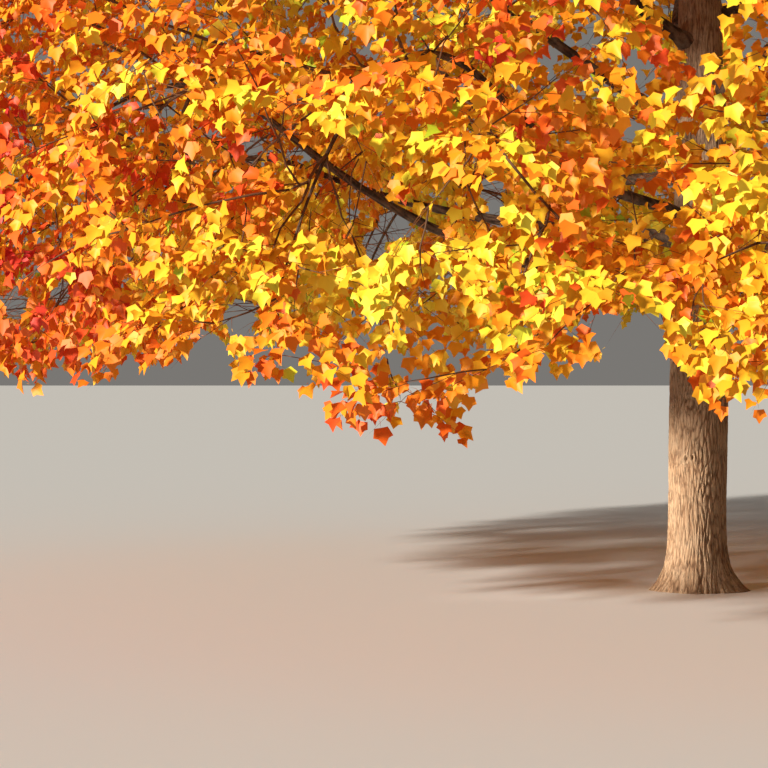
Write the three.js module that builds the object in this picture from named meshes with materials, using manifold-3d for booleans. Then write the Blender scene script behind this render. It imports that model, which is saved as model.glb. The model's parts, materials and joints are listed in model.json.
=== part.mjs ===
// A broad, low-skirted maple in autumn leaf: one trunk with a flared foot, boughs in four tiers that leave it
// all the way up, and a mass of leafy twigs on the tip of every bough.
//
// Units are millimetres, +Z is up, and the origin is the middle of the flat cut at ground level.
// Azimuths are in degrees, counter-clockwise from +X seen from above, so 180 is left and 270 is the front.

import * as THREE from "three";
import { mergeVertices } from "three/addons/utils/BufferGeometryUtils.js";
import Module from "manifold-3d";

const wasm = await Module();
wasm.setup();

// The crown's outline
const TREE_HEIGHT = 12400; // ground to the topmost leaf tips
const CROWN_MIDDLE_HEIGHT = 4300; // where the crown is widest
const CROWN_FOOT_HEIGHT = 1180; // the lowest leaf tips, at the front
const CROWN_FOOT_RISE = 480; // how much higher the skirt's edge hangs at the back
const CROWN_RADIUS = 6250; // mean half-spread at the widest height
const CROWN_LEAN_LEFT = 0.05; // share by which the crown reaches further to the left
const CROWN_UPPER_POWER = 2.15; // roundness of the dome
const CROWN_LOWER_POWER = 6; // squareness of the skirt's edge

const SEAT_GAP = 0.35; // a touching piece stands this clear of its seat
const SLIVER = 0.05; // edges shorter than this are closed up
const UP = new THREE.Vector3(0, 0, 1);

// Trunk: radius against height, from the flare at the ground to the fork
const TRUNK_FORK_HEIGHT = 7300;
const TRUNK_GIRTH = [
  // [height, mean radius]
  [0, 262],
  [30, 250],
  [75, 236],
  [140, 220],
  [230, 210],
  [400, 206],
  [1000, 209],
  [1700, 208],
  [2600, 196],
  [3400, 172],
  [4300, 146],
  [5600, 114],
  [TRUNK_FORK_HEIGHT, 78],
];
const TRUNK_SIDES = 20;
const TRUNK_LEAN = [70, 40]; // how far the fork stands off the foot, along X and Y
const TRUNK_LEAN_POWER = 1.5; // the lean to the side gathers towards the top
const TRUNK_SWAY = 45; // how far the stem wanders off that line
const ROOT_RIDGES = [
  // [azimuth, height of the ridge above the mean radius at the ground, width in degrees]
  [184, 85, 34],
  [252, 40, 30],
  [318, 52, 26],
  [352, 110, 24],
  [66, 66, 32],
  [122, 56, 30],
];
const ROOT_RIDGE_HEIGHT = 130; // height at which a ridge has sunk to about a third

// Boughs and masses, tier by tier. A bough leaves the trunk at foot and its tip is at reach and tipHeight.
// level is how evenly it rises: 1 is a straight line, less keeps it low at first.
// The mass on it spreads to half its depth, width and height about its middle, and its stem may droop.
const TIERS = [
  {
    name: "skirt",
    count: 9,
    azimuth: 199,
    step: 80,
    foot: 2060,
    footStep: 115,
    reach: 3150,
    tipHeight: 3230,
    level: 0.45,
    footRadius: 58,
    tipRadius: 30,
    massReach: 4420,
    massHeight: 2780,
    half: [2100, 2050, 1760],
    droop: 0.5,
  },
  {
    name: "middle",
    count: 8,
    azimuth: 178,
    step: 135,
    foot: 3260,
    footStep: 205,
    reach: 2500,
    tipHeight: 5150,
    level: 0.85,
    footRadius: 52,
    tipRadius: 28,
    massReach: 3950,
    massHeight: 5750,
    half: [2150, 2000, 1750],
    droop: 0.12,
  },
  {
    name: "upper",
    count: 6,
    azimuth: 205,
    step: 60,
    foot: 5100,
    footStep: 300,
    reach: 1500,
    tipHeight: 7500,
    level: 0.9,
    footRadius: 42,
    tipRadius: 24,
    massReach: 2650,
    massHeight: 8250,
    half: [2000, 1900, 1750],
    droop: 0.0,
  },
  {
    name: "top",
    count: 4,
    azimuth: 160,
    step: 90,
    foot: TRUNK_FORK_HEIGHT - 520,
    footStep: 90,
    reach: 620,
    tipHeight: 9350,
    level: 1.0,
    footRadius: 34,
    tipRadius: 20,
    massReach: 1050,
    massHeight: 10600,
    half: [1750, 1750, 2000],
    droop: -0.25,
  },
];
const LIMB_SIDES = 6;
const LIMB_STEPS = 4;
const LIMB_WIGGLE = 280; // how far a bough wanders sideways where it is free of both ends
const VARIETY = { reach: 0.1, tipHeight: 260, massReach: 0.05, massHeight: 300 }; // from bough to bough

// A mass's stem
const STEM_SIDES = 5;
const STEM_STRAIGHT = 120; // it leaves the bough's tip in line with it for so long
const STEM_STEPS = 4;
const STEM_OVER = 0.45; // and ends this share of the mass's depth past its middle
const STEM_SNUG = 0.95; // its girth against the bough's tip

// Twigs
const TWIG_POWER = 0.46; // a twig's radius grows with this power of the sprays it carries
const TWIG_END_RADIUS = 15; // and is this where it carries one
const TWIG_TAPER = 0.75; // a twig's end against its start
const PATH_WEIGHT = 0.35; // how strongly a twig prefers a parent near the stem's foot
const TURN_WEIGHT = 0.45; // and one that it needn't turn back from
const SHORTEST_TWIG = 750;
const SHORT_WEIGHT = 4; // how strongly it avoids being shorter than that
const CANDIDATES = 900; // places tried in each mass
const SPRAY_SPACING = 1540; // least distance between the ends of two twigs
const SPACING_INWARD = 0.9; // how much thinner the sprays stand towards the trunk
const INNERMOST = 0.42; // sprays start at this share of the way out from the trunk
const OUTER_SHELL = 0.78; // places further out than this are filled first
const OUTERMOST = 0.9; // and the last twigs end at this one
const CELL_MARGIN = 15; // half the clear space between two neighbouring masses
const LIMB_CLEARANCE = 60;

// Leaves: each stands for a spray of the tree's own
const LEAF_LENGTH = 1320;
const LEAF_WIDTH = 1110;
const LEAF_THICKNESS = 24;
const LEAF_WIDEST = 0.42; // share of the length from the root to the widest place
const PAIRS_BEHIND = [330, 880]; // how far behind a twig's end its pairs of leaves sit
const PAIR_AIM = [0.45, 0.85]; // a paired leaf points so much along its twig and so much aside
const LEAF_TRIALS = 16; // sizes and turns tried for each leaf
const LEAF_SMALLEST = 0.65; // the last of them against full size
const LEAF_RANGING = 0.5; // how much further each trial may turn
const LEAF_OUTWARD = 0.35; // pull of a leaf's tip away from the trunk
const LEAF_RISE = [-1.1, 0.4]; // and of its tip upwards, at the ground and at the top of the crown
const LEAF_TURN = 0.7; // spread of its turns to the side
const LEAF_DIP = 0.5; // and up and down
const LEAF_FACE = { up: 0.7, outward: 1.2, roll: 2.4 }; // which way its upper face looks
const SCATTER = [0.7548776662466927, 0.5698402909980532, 0.8191725133961645]; // turn, roll and dip

// Gaps that show in the crown: each is a clear tunnel between two points
const GAPS = [
  { from: [-1750, -700, 2480], to: [-2130, -6200, 2100], radius: 150 },
  { from: [-2500, -850, 2900], to: [-2330, -6200, 2500], radius: 130 },
  { from: [-900, -1500, 2000], to: [-1120, -6200, 1850], radius: 190 },
];

const { degToRad, radToDeg, lerp, clamp } = THREE.MathUtils;

// A repeatable number from -0.5 to 0.5: the fractional part of a whole number's multiple of an irrational.
function scatter(index, stride = 0.6180339887498949) {
  return ((index * stride) % 1) - 0.5;
}

// The radical inverse of index in a prime base: evenly spread numbers from 0 to 1.
function halton(index, base) {
  let share = 1;
  let sum = 0;
  for (let rest = index; rest > 0; rest = Math.floor(rest / base)) {
    share /= base;
    sum += share * (rest % base);
  }
  return sum;
}

function polar(azimuth, reach, height) {
  const angle = degToRad(azimuth);
  return new THREE.Vector3(reach * Math.cos(angle), reach * Math.sin(angle), height);
}

// Point plus each of the directions times its length
function offset(point, ...moves) {
  const moved = point.clone();
  for (const [direction, length] of moves) moved.addScaledVector(direction, length);
  return moved;
}

function between(a, b, share) {
  return a.clone().lerp(b, share);
}

function heading(from, to) {
  return to.clone().sub(from).normalize();
}

function segmentDistance(point, a, b) {
  const line = b.clone().sub(a);
  const share = clamp(point.clone().sub(a).dot(line) / line.lengthSq(), 0, 1);
  return point.distanceTo(offset(a, [line, share]));
}

// Closed geometry to solid and back
function solidOf(geometry) {
  geometry.deleteAttribute("normal");
  geometry.deleteAttribute("uv");
  const merged = mergeVertices(geometry, 1e-3);
  return new wasm.Manifold(
    new wasm.Mesh({
      numProp: 3,
      vertProperties: new Float32Array(merged.attributes.position.array),
      triVerts: new Uint32Array(merged.index.array),
    }),
  );
}

function geometryOf(solid) {
  const mesh = solid.getMesh();
  const geometry = new THREE.BufferGeometry();
  geometry.setAttribute("position", new THREE.BufferAttribute(mesh.vertProperties, 3));
  geometry.setIndex(new THREE.BufferAttribute(mesh.triVerts, 1));
  geometry.computeVertexNormals();
  return geometry;
}

// A cylinder from the first ring to the last: ringAt(ring) gives each its middle and the two vectors that
// the circle's sine and cosine are multiplied with. A pointed one narrows to nothing at its last ring.
function loft(sides, rings, pointed) {
  const last = rings.length - 1;
  const geometry = new THREE.CylinderGeometry(pointed ? 0 : 1, 1, 1, sides, last);
  const position = geometry.attributes.position;
  for (let i = 0; i < position.count; i++) {
    const [x, y, z] = [position.getX(i), position.getY(i), position.getZ(i)];
    const { middle, across, down } = rings[Math.round((y + 0.5) * last)];
    const spread = Math.hypot(x, z) > 1e-9 ? 1 / Math.hypot(x, z) : 0;
    const place = offset(middle, [across, x * spread], [down, z * spread]);
    position.setXYZ(i, place.x, place.y, place.z);
  }
  return solidOf(geometry);
}

// A round limb along points, its rings square to its course.
function limb(points, sides, radiusAt) {
  let across = new THREE.Vector3(0, 1, 0.5);
  const rings = points.map((middle, i) => {
    const course = heading(points[Math.max(i - 1, 0)], points[Math.min(i + 1, points.length - 1)]);
    across = offset(across, [course, -across.dot(course)]).setLength(radiusAt(i));
    return { middle, across, down: across.clone().cross(course) };
  });
  return loft(sides, rings, false);
}

// Trunk
function trunkAxis(height) {
  const share = height / TRUNK_FORK_HEIGHT;
  const sway = TRUNK_SWAY * Math.sin(Math.PI * 2 * share) * share;
  const lean = TRUNK_LEAN[0] * share ** TRUNK_LEAN_POWER;
  return new THREE.Vector3(lean + sway, TRUNK_LEAN[1] * share - sway / 2, height);
}

// Mean radius at a height, with straight lines between the rows of the table.
function trunkGirth(height) {
  const above = TRUNK_GIRTH.findIndex(([place]) => place >= height);
  const row = above === -1 ? TRUNK_GIRTH.length - 1 : Math.max(1, above);
  const [[low, atLow], [high, atHigh]] = [TRUNK_GIRTH[row - 1], TRUNK_GIRTH[row]];
  return lerp(atLow, atHigh, clamp((height - low) / (high - low), 0, 1));
}

function trunkRadius(height, azimuth) {
  let radius = trunkGirth(height);
  for (const [where, rise, width] of ROOT_RIDGES) {
    const off = ((azimuth - where + 540) % 360) - 180;
    radius += rise * Math.exp(-((off / width) ** 2)) * Math.exp(-height / ROOT_RIDGE_HEIGHT);
  }
  return radius;
}

// The trunk's rings lie level, so its foot is a flat cut and its top a flat fork.
function trunkSolid(grow = 0) {
  const last = TRUNK_GIRTH.length - 1;
  const geometry = new THREE.CylinderGeometry(1, 1, 1, TRUNK_SIDES, last);
  const position = geometry.attributes.position;
  for (let i = 0; i < position.count; i++) {
    const [x, z] = [position.getX(i), position.getZ(i)];
    const height = TRUNK_GIRTH[Math.round((position.getY(i) + 0.5) * last)][0];
    const angle = Math.atan2(-z, x);
    const radius = Math.hypot(x, z) > 1e-9 ? trunkRadius(height, radToDeg(angle)) + grow : 0;
    const place = trunkAxis(height).add(polar(radToDeg(angle), radius, 0));
    position.setXYZ(i, place.x, place.y, place.z);
  }
  return solidOf(geometry);
}

// Where a bough runs, and the middle of the mass on it.
function boughPlan(tier, index, order) {
  const azimuth = (tier.azimuth + index * tier.step) % 360;
  const vary = scatter(order + 1);
  const foot = trunkAxis(tier.foot + index * tier.footStep);
  const reach = tier.reach * (1 + VARIETY.reach * vary);
  const tip = polar(azimuth, reach, tier.tipHeight + VARIETY.tipHeight * vary);
  const points = Array.from({ length: LIMB_STEPS + 1 }, (_, i) => {
    const share = i / LIMB_STEPS;
    const point = between(foot, tip, share);
    point.z = lerp(foot.z, tip.z, tier.level * share + (1 - tier.level) * share ** 3);
    const wander = LIMB_WIGGLE * Math.sin(Math.PI * 2 * (share + vary)) * share * (1 - share);
    return offset(point, [polar(azimuth + 90, 1, 0), wander]);
  });
  const middle = polar(
    azimuth,
    tier.massReach * (1 + VARIETY.massReach * vary),
    tier.massHeight + VARIETY.massHeight * vary,
  );
  return { tier, index, azimuth, points, middle, name: tier.name + "_" + (index + 1) };
}

function boughRadius(tier, share) {
  return lerp(tier.footRadius, tier.tipRadius, share);
}

function boughSolid(plan, trunkGrown) {
  const whole = limb(plan.points, LIMB_SIDES, (ring) => boughRadius(plan.tier, ring / LIMB_STEPS));
  return whole.subtract(trunkGrown);
}

// Share of the way out from the crown's heart to its outline: 1 on the outline.
function outwardness(point) {
  const azimuth = Math.atan2(point.y, point.x);
  const spread = CROWN_RADIUS * (1 - CROWN_LEAN_LEFT * Math.cos(azimuth));
  const foot = CROWN_FOOT_HEIGHT + (CROWN_FOOT_RISE * (1 + Math.sin(azimuth))) / 2;
  const above = point.z > CROWN_MIDDLE_HEIGHT;
  const half = above ? TREE_HEIGHT - CROWN_MIDDLE_HEIGHT : CROWN_MIDDLE_HEIGHT - foot;
  const power = above ? CROWN_UPPER_POWER : CROWN_LOWER_POWER;
  const level = Math.hypot(point.x, point.y) / spread;
  const rise = Math.abs(point.z - CROWN_MIDDLE_HEIGHT) / half;
  return (level ** power + rise ** power) ** (1 / power);
}

// True where a point is clear of the trunk and every bough.
function clearOfLimbs(point, plans, clearance) {
  if (point.z < TRUNK_FORK_HEIGHT + clearance) {
    const axis = trunkAxis(Math.min(point.z, TRUNK_FORK_HEIGHT));
    if (Math.hypot(point.x - axis.x, point.y - axis.y) < trunkGirth(point.z) + clearance) return false;
  }
  return plans.every(({ tier, points }) =>
    points.slice(1).every((end, i) => {
      return segmentDistance(point, points[i], end) >= boughRadius(tier, i / LIMB_STEPS) + clearance;
    }),
  );
}

// True where a point has the space of its own mass, inside the crown and out of every gap and limb.
// That space ends at the planes half-way between two masses' middles, moved in by the margin.
function ownSpace(point, plan, plans, furthest) {
  if (outwardness(point) > furthest) return false;
  const mine = point.distanceToSquared(plan.middle);
  for (const { middle } of plans) {
    const apart = middle.distanceTo(plan.middle);
    if (apart > 0 && (point.distanceToSquared(middle) - mine) / (2 * apart) < CELL_MARGIN) return false;
  }
  for (const { from, to, radius } of GAPS) {
    if (segmentDistance(point, new THREE.Vector3(...from), new THREE.Vector3(...to)) < radius) return false;
  }
  return clearOfLimbs(point, plans, LIMB_CLEARANCE);
}

// Twig ends of one mass's sprays: evenly spread places in its space that keep a least distance, those next
// to the crown's outline first.
function sprayPlaces(plan, plans) {
  const [deep, wide, tall] = plan.tier.half;
  const candidates = Array.from({ length: CANDIDATES }, (_, k) => {
    const [u, v, w] = [2, 3, 5].map((base) => 2 * halton(k + 1 + 17 * plan.index, base) - 1);
    const [outward, sideways] = [polar(plan.azimuth, 1, 0), polar(plan.azimuth + 90, 1, 0)];
    const point = offset(plan.middle, [outward, u * deep], [sideways, v * wide], [UP, w * tall]);
    return { point, out: outwardness(point) };
  }).filter(({ point, out }) => out > INNERMOST && ownSpace(point, plan, plans, OUTERMOST));
  const places = [];
  for (const shell of [OUTER_SHELL, INNERMOST]) {
    for (const { point, out } of candidates) {
      const spacing = SPRAY_SPACING * (1 + SPACING_INWARD * (OUTERMOST - out));
      if (out > shell && places.every((other) => other.distanceTo(point) > spacing)) places.push(point);
    }
  }
  return places;
}

// The stem of a mass goes on from its bough's tip, through the middle and over in an arch.
function stemPoints({ points, tier, middle, azimuth }) {
  const course = heading(points[LIMB_STEPS - 1], points[LIMB_STEPS]);
  const foot = offset(points[LIMB_STEPS], [course, SEAT_GAP]);
  const over = polar(azimuth, tier.half[0] * STEM_OVER, -tier.half[2] * tier.droop);
  const end = middle.clone().add(over);
  const bend = offset(foot, [course, foot.distanceTo(end) / 2]);
  const curve = new THREE.QuadraticBezierCurve3(foot, bend, end);
  return [foot, offset(foot, [course, STEM_STRAIGHT]), ...curve.getPoints(STEM_STEPS).slice(1)];
}

// Joins each spray, nearest first, to the twig node that gives it the shortest and straightest way home.
// A spray is a straight twig that ends in a leaf, with pairs of leaves behind that.
function growTwigs(plan, plans) {
  const stem = stemPoints(plan);
  const nodes = [];
  stem.forEach((point, i) => {
    const direction = heading(stem[Math.max(i - 1, 0)], stem[Math.min(i + 1, stem.length - 1)]);
    const path = i ? nodes[i - 1].path + point.distanceTo(stem[i - 1]) : 0;
    nodes.push({ point, parent: i - 1, path, direction, load: 0 });
  });
  const places = sprayPlaces(plan, plans).sort((a, b) => a.distanceTo(stem[0]) - b.distanceTo(stem[0]));
  const twigs = [];
  for (const place of places) {
    const best = bestParent(nodes, place);
    const start = nodes[best].point;
    const length = start.distanceTo(place);
    const steps = Math.ceil(length / LIMB_CLEARANCE);
    const samples = Array.from({ length: steps }, (_, i) => between(start, place, (i + 1) / steps));
    if (!samples.every((point) => clearOfLimbs(point, plans, LIMB_CLEARANCE / 2))) continue;
    const grown = {
      leaves: twigs.flatMap(({ ending, pairs }) => [ending, ...pairs]),
      wood: twigs.map(({ from, end }) => [nodes[from].point, nodes[end].point]),
    };
    if (grown.leaves.some((leaf) => pierces(start, place, leaf))) continue;
    const leaves = sprayLeaves(start, place, plan, plans, grown, twigs.length + 31 * plan.index);
    if (!leaves) continue;
    const direction = heading(start, place);
    const path = nodes[best].path;
    const middle = between(start, place, 0.5);
    const halfway = { point: middle, parent: best, path: path + length / 2, direction, load: 0 };
    const end = { point: place, parent: nodes.length, path: path + length, direction, load: 0 };
    twigs.push({ from: best, half: nodes.push(halfway) - 1, end: nodes.push(end) - 1, ...leaves });
    for (let up = nodes.length - 1; up >= 0; up = nodes[up].parent) nodes[up].load += 1;
  }
  return { stem, nodes, twigs };
}

function bestParent(nodes, place) {
  let best = -1;
  let least = Infinity;
  nodes.forEach(({ point, direction, path }, i) => {
    if (i < 2) return; // the stem's straight start stays bare
    const length = point.distanceTo(place);
    const turn = 1 - heading(point, place).dot(direction);
    const short = Math.max(0, SHORTEST_TWIG - length);
    const cost = length * (1 + TURN_WEIGHT * turn) + PATH_WEIGHT * path + SHORT_WEIGHT * short;
    if (cost < least) [least, best] = [cost, i];
  });
  return best;
}

// The leaves of one spray: one that ends the twig and pairs behind it, each only where it fits.
function sprayLeaves(start, end, plan, plans, grown, index) {
  const course = heading(start, end);
  const sideways = UP.clone().cross(course).normalize();
  const number = (2 * PAIRS_BEHIND.length + 1) * index;
  const ending = fittedLeaf(end, course, plan, plans, grown, number);
  if (!ending) return null;
  const pairs = [];
  for (const behind of PAIRS_BEHIND.filter((one) => one < start.distanceTo(end))) {
    for (const hand of [1, -1]) {
      const root = offset(end, [course, -behind]);
      const aim = offset(new THREE.Vector3(), [course, PAIR_AIM[0]], [sideways, hand * PAIR_AIM[1]]);
      const others = { ...grown, leaves: [...grown.leaves, ending, ...pairs] };
      const leaf = fittedLeaf(root, aim, plan, plans, others, number + pairs.length + 1);
      if (leaf) pairs.push(leaf);
    }
  }
  return { ending, pairs };
}

// The first of several sizes and turns of a leaf that keeps to its mass's space, clear of what grows there.
function fittedLeaf(root, aim, plan, plans, grown, index) {
  for (let trial = 0; trial < LEAF_TRIALS; trial++) {
    const size = lerp(1, LEAF_SMALLEST, trial / LEAF_TRIALS);
    const leaf = leafPlan(root, aim, size, index * LEAF_TRIALS + trial, 1 + trial * LEAF_RANGING);
    if (!leaf.corners.every((corner) => ownSpace(corner, plan, plans, 1))) continue;
    if (grown.leaves.some((other) => leavesCross(leaf, other))) continue;
    if (grown.wood.some(([a, b]) => pierces(a, b, leaf))) continue;
    if (leafSamples(leaf).every((point) => clearOfLimbs(point, plans, LIMB_CLEARANCE))) return leaf;
  }
  return null;
}

// True where an edge of either leaf passes through the blade of the other.
function leavesCross(one, other) {
  if (one.root.distanceTo(other.root) < 1) return false; // a pair springs from one place
  if (one.widest.distanceTo(other.widest) > LEAF_LENGTH + LEAF_WIDTH) return false;
  return [[one, other], [other, one]].some(([{ corners }, blade]) =>
    corners.some((corner, i) => pierces(corner, corners[(i + 1) % corners.length], blade, 0)),
  );
}

// True where the line from a to b passes through a leaf's blade, or within the margin of its edge.
function pierces(a, b, blade, margin = TWIG_END_RADIUS) {
  const [above, below] = [a, b].map((end) => end.clone().sub(blade.root).dot(blade.face));
  if (above * below > 0) return false;
  const hit = between(a, b, above / (above - below)).sub(blade.root);
  const across = (Math.abs(hit.dot(blade.side)) - margin) / (blade.width / 2);
  return across < bladeSpread(hit.dot(blade.axis) / blade.length);
}

// Half-width of a leaf at a share of its length, against its widest: negative off its ends.
function bladeSpread(share) {
  return share < LEAF_WIDEST ? share / LEAF_WIDEST : (1 - share) / (1 - LEAF_WIDEST);
}

// A leaf's tip leans outward and a little down from its twig, and its upper face looks up and out.
function leafPlan(root, aim, size, index, range) {
  const outward = new THREE.Vector3(root.x, root.y, 0).normalize();
  const sideways = UP.clone().cross(outward);
  const [turn, roll, dip] = SCATTER.map((stride) => scatter(index + 1, stride));
  const rise = lerp(...LEAF_RISE, root.z / TREE_HEIGHT) + LEAF_DIP * dip * range;
  const axis = offset(aim, [outward, LEAF_OUTWARD], [sideways, LEAF_TURN * turn * range], [UP, rise]);
  axis.normalize();
  const up = UP.clone().multiplyScalar(LEAF_FACE.up);
  const face = offset(up, [outward, LEAF_FACE.outward], [sideways, LEAF_FACE.roll * roll]);
  face.addScaledVector(axis, -face.dot(axis)).normalize();
  const side = face.clone().cross(axis);
  const [length, width] = [LEAF_LENGTH * size, LEAF_WIDTH * size];
  const widest = offset(root, [axis, length * LEAF_WIDEST]);
  const [left, right] = [width / 2, -width / 2].map((aside) => offset(widest, [side, aside]));
  const corners = [root, left, offset(root, [axis, length]), right];
  return { root, axis, face, side, widest, corners, length, width };
}

// Places all over a leaf's blade, close enough together that no limb slips between them.
function leafSamples({ root, axis, side, length, width }) {
  const places = [];
  for (let share = 0; share <= 1; share += 0.1) {
    for (let across = -1; across <= 1; across += 0.25) {
      places.push(offset(root, [axis, length * share], [side, (across * bladeSpread(share) * width) / 2]));
    }
  }
  return places;
}

// A leaf on its twig's side has four faces: a blade folded up a little along its midrib.
function sideLeaf({ corners: [root, left, tip, right], face }) {
  const [leftUp, rightUp] = [left, right].map((corner) => offset(corner, [face, LEAF_THICKNESS]));
  const places = { "1,1,1": root, "-1,1,-1": leftUp, "-1,-1,1": tip, "1,-1,-1": rightUp };
  const geometry = new THREE.TetrahedronGeometry(1);
  const position = geometry.attributes.position;
  for (let i = 0; i < position.count; i++) {
    const place = places[[position.getX(i), position.getY(i), position.getZ(i)].map(Math.sign).join()];
    position.setXYZ(i, place.x, place.y, place.z);
  }
  return solidOf(geometry);
}

// A three-sided twig that widens at its end into the leaf there.
function twigWithLeaf(start, end, radii, leaf) {
  const course = heading(start, end);
  const face = offset(leaf.face, [course, -leaf.face.dot(course)]).normalize();
  const side = face.clone().cross(course);
  const ring = (middle, across, down) => ({ middle, across, down });
  const wood = [start, end].map((middle, i) =>
    ring(middle, side.clone().multiplyScalar(radii[i]), face.clone().multiplyScalar(-radii[i])),
  );
  const widest = ring(
    leaf.widest,
    leaf.side.clone().multiplyScalar(leaf.width / Math.sqrt(3)),
    leaf.face.clone().multiplyScalar(-LEAF_THICKNESS / 1.5),
  );
  const tip = ring(leaf.corners[2], new THREE.Vector3(), new THREE.Vector3());
  return loft(3, [...wood, widest, tip], true);
}

// One mass: its stem, twigs and leaves in one piece.
function massSolid(plan, plans) {
  const { stem, nodes, twigs } = growTwigs(plan, plans);
  const thickest = plan.tier.tipRadius * STEM_SNUG;
  const girth = (load) => TWIG_END_RADIUS * Math.max(load, 1) ** TWIG_POWER;
  const radiusAt = (node) => Math.min(thickest, girth(nodes[node].load));
  const pieces = [limb(stem, STEM_SIDES, (ring) => (ring < 2 ? thickest : radiusAt(ring)))];
  for (const { from, half, end, ending, pairs } of twigs) {
    const radii = [radiusAt(half), radiusAt(end) * TWIG_TAPER];
    pieces.push(twigWithLeaf(nodes[from].point, nodes[end].point, radii, ending), ...pairs.map(sideLeaf));
  }
  const joined = wasm.Manifold.union(pieces).simplify(SLIVER);
  return joined.decompose().sort((a, b) => b.volume() - a.volume())[0];
}

// The tree
const BARK = new THREE.MeshStandardMaterial({ color: 0x8f7a66, roughness: 0.95, metalness: 0 });
const LIMB_BARK = new THREE.MeshStandardMaterial({ color: 0x4b3a30, roughness: 0.9, metalness: 0 });
const LEAF_COLOURS = { skirt: 0xe8831a, middle: 0xf0a020, upper: 0xe86a22, top: 0xdc4a2c };

function addNode(group, name, solid, material) {
  const mesh = new THREE.Mesh(geometryOf(solid), material);
  mesh.name = name;
  group.add(mesh);
}

const tree = new THREE.Group();
tree.name = "maple_tree";
addNode(tree, "trunk", trunkSolid(), BARK);

const order = TIERS.flatMap((tier) => Array.from({ length: tier.count }, (_, index) => ({ tier, index })));
const plans = order.map(({ tier, index }, i) => boughPlan(tier, index, i));
const trunkGrown = trunkSolid(SEAT_GAP);
for (const tier of TIERS) {
  const color = LEAF_COLOURS[tier.name];
  const leaves = new THREE.MeshStandardMaterial({ color, roughness: 0.6, metalness: 0 });
  for (const plan of plans.filter((one) => one.tier === tier)) {
    addNode(tree, plan.name + "_bough", boughSolid(plan, trunkGrown), LIMB_BARK);
    addNode(tree, plan.name + "_leaves", massSolid(plan, plans), leaves);
  }
}

export default tree;
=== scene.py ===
"""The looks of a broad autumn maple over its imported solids: bark, limbs, twigs and leaves.

Lengths are metres, +Z is up, and the origin is the middle of the flat cut at ground level.
Azimuths are degrees, counter-clockwise from +X seen from above: 180 is left and 270 is the front.
"""

import json
import logging
from dataclasses import dataclass, field, replace
from enum import Enum

import bpy
import numpy as np
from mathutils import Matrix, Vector

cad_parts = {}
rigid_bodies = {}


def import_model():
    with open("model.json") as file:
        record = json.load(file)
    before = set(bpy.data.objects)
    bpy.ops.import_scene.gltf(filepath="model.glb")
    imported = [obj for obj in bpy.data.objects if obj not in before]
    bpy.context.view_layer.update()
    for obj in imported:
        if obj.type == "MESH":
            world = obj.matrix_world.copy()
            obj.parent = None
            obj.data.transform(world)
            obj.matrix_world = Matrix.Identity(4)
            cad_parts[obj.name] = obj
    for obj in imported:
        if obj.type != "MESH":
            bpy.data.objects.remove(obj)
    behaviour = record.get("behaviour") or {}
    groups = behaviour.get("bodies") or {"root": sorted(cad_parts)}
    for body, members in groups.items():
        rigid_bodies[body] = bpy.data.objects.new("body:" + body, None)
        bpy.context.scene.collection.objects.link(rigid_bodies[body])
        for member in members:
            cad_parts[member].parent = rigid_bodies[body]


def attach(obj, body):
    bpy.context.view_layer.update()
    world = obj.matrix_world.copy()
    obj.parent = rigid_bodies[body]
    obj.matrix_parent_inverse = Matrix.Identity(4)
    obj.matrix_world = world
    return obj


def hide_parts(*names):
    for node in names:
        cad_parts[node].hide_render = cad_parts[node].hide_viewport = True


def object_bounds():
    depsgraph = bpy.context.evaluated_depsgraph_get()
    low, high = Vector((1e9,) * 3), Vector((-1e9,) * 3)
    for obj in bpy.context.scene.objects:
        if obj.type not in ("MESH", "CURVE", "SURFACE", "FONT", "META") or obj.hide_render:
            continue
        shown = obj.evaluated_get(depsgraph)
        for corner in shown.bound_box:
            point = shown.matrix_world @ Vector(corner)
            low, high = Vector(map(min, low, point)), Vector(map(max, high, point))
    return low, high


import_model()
CAD_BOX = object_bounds()

Array = np.ndarray
Triple = tuple[float, float, float]
Colour = tuple[float, float, float, float]
UP = np.array([0.0, 0.0, 1.0])
GOLDEN = 0.6180339887498949
LOG = logging.getLogger("maple")


# Numbers and directions.


def unit(vectors: Array) -> Array:
    """Return each vector divided by its length."""
    return vectors / np.maximum(np.linalg.norm(vectors, axis=-1, keepdims=True), 1e-12)


def polar(azimuth: Array, reach: Array, height: Array) -> Array:
    """Return points at (reach cos azimuth, reach sin azimuth, height).

    Args:
        azimuth: degrees.
        reach: distance from the trunk's line.
        height: height above ground.

    Returns:
        Points, with their coordinates along the last axis.
    """
    angle = np.radians(azimuth)
    parts = np.broadcast_arrays(reach * np.cos(angle), reach * np.sin(angle), height)
    return np.stack(parts, axis=-1).astype(float)


def scatter(index: Array, stride: float = GOLDEN) -> Array:
    """Return a repeatable number from -0.5 to 0.5: the fraction of index times an irrational stride."""
    return np.mod(np.asarray(index) * stride, 1.0) - 0.5


def radical_inverse(index: Array, base: int) -> Array:
    """Mirror the digits of whole numbers about the point, which spreads them evenly from 0 to 1.

    Args:
        index: whole numbers.
        base: the prime base of the digits.

    Returns:
        The sum of each digit divided by the base to its place.
    """
    rest = np.array(index)
    total = np.zeros(rest.shape)
    share = 1.0
    while rest.any():
        share /= base
        total += share * (rest % base)
        rest //= base
    return total


def smoothstep(values: Array) -> Array:
    """Return 3 v^2 - 2 v^3 with v held between 0 and 1."""
    held = np.clip(values, 0.0, 1.0)
    return held * held * (3.0 - 2.0 * held)


def degrees_from(azimuths: Array, azimuth: float) -> Array:
    """Return how far azimuths lie round from one azimuth, from -180 to 180 degrees."""
    return np.mod(azimuths - azimuth + 540, 360) - 180


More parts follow.
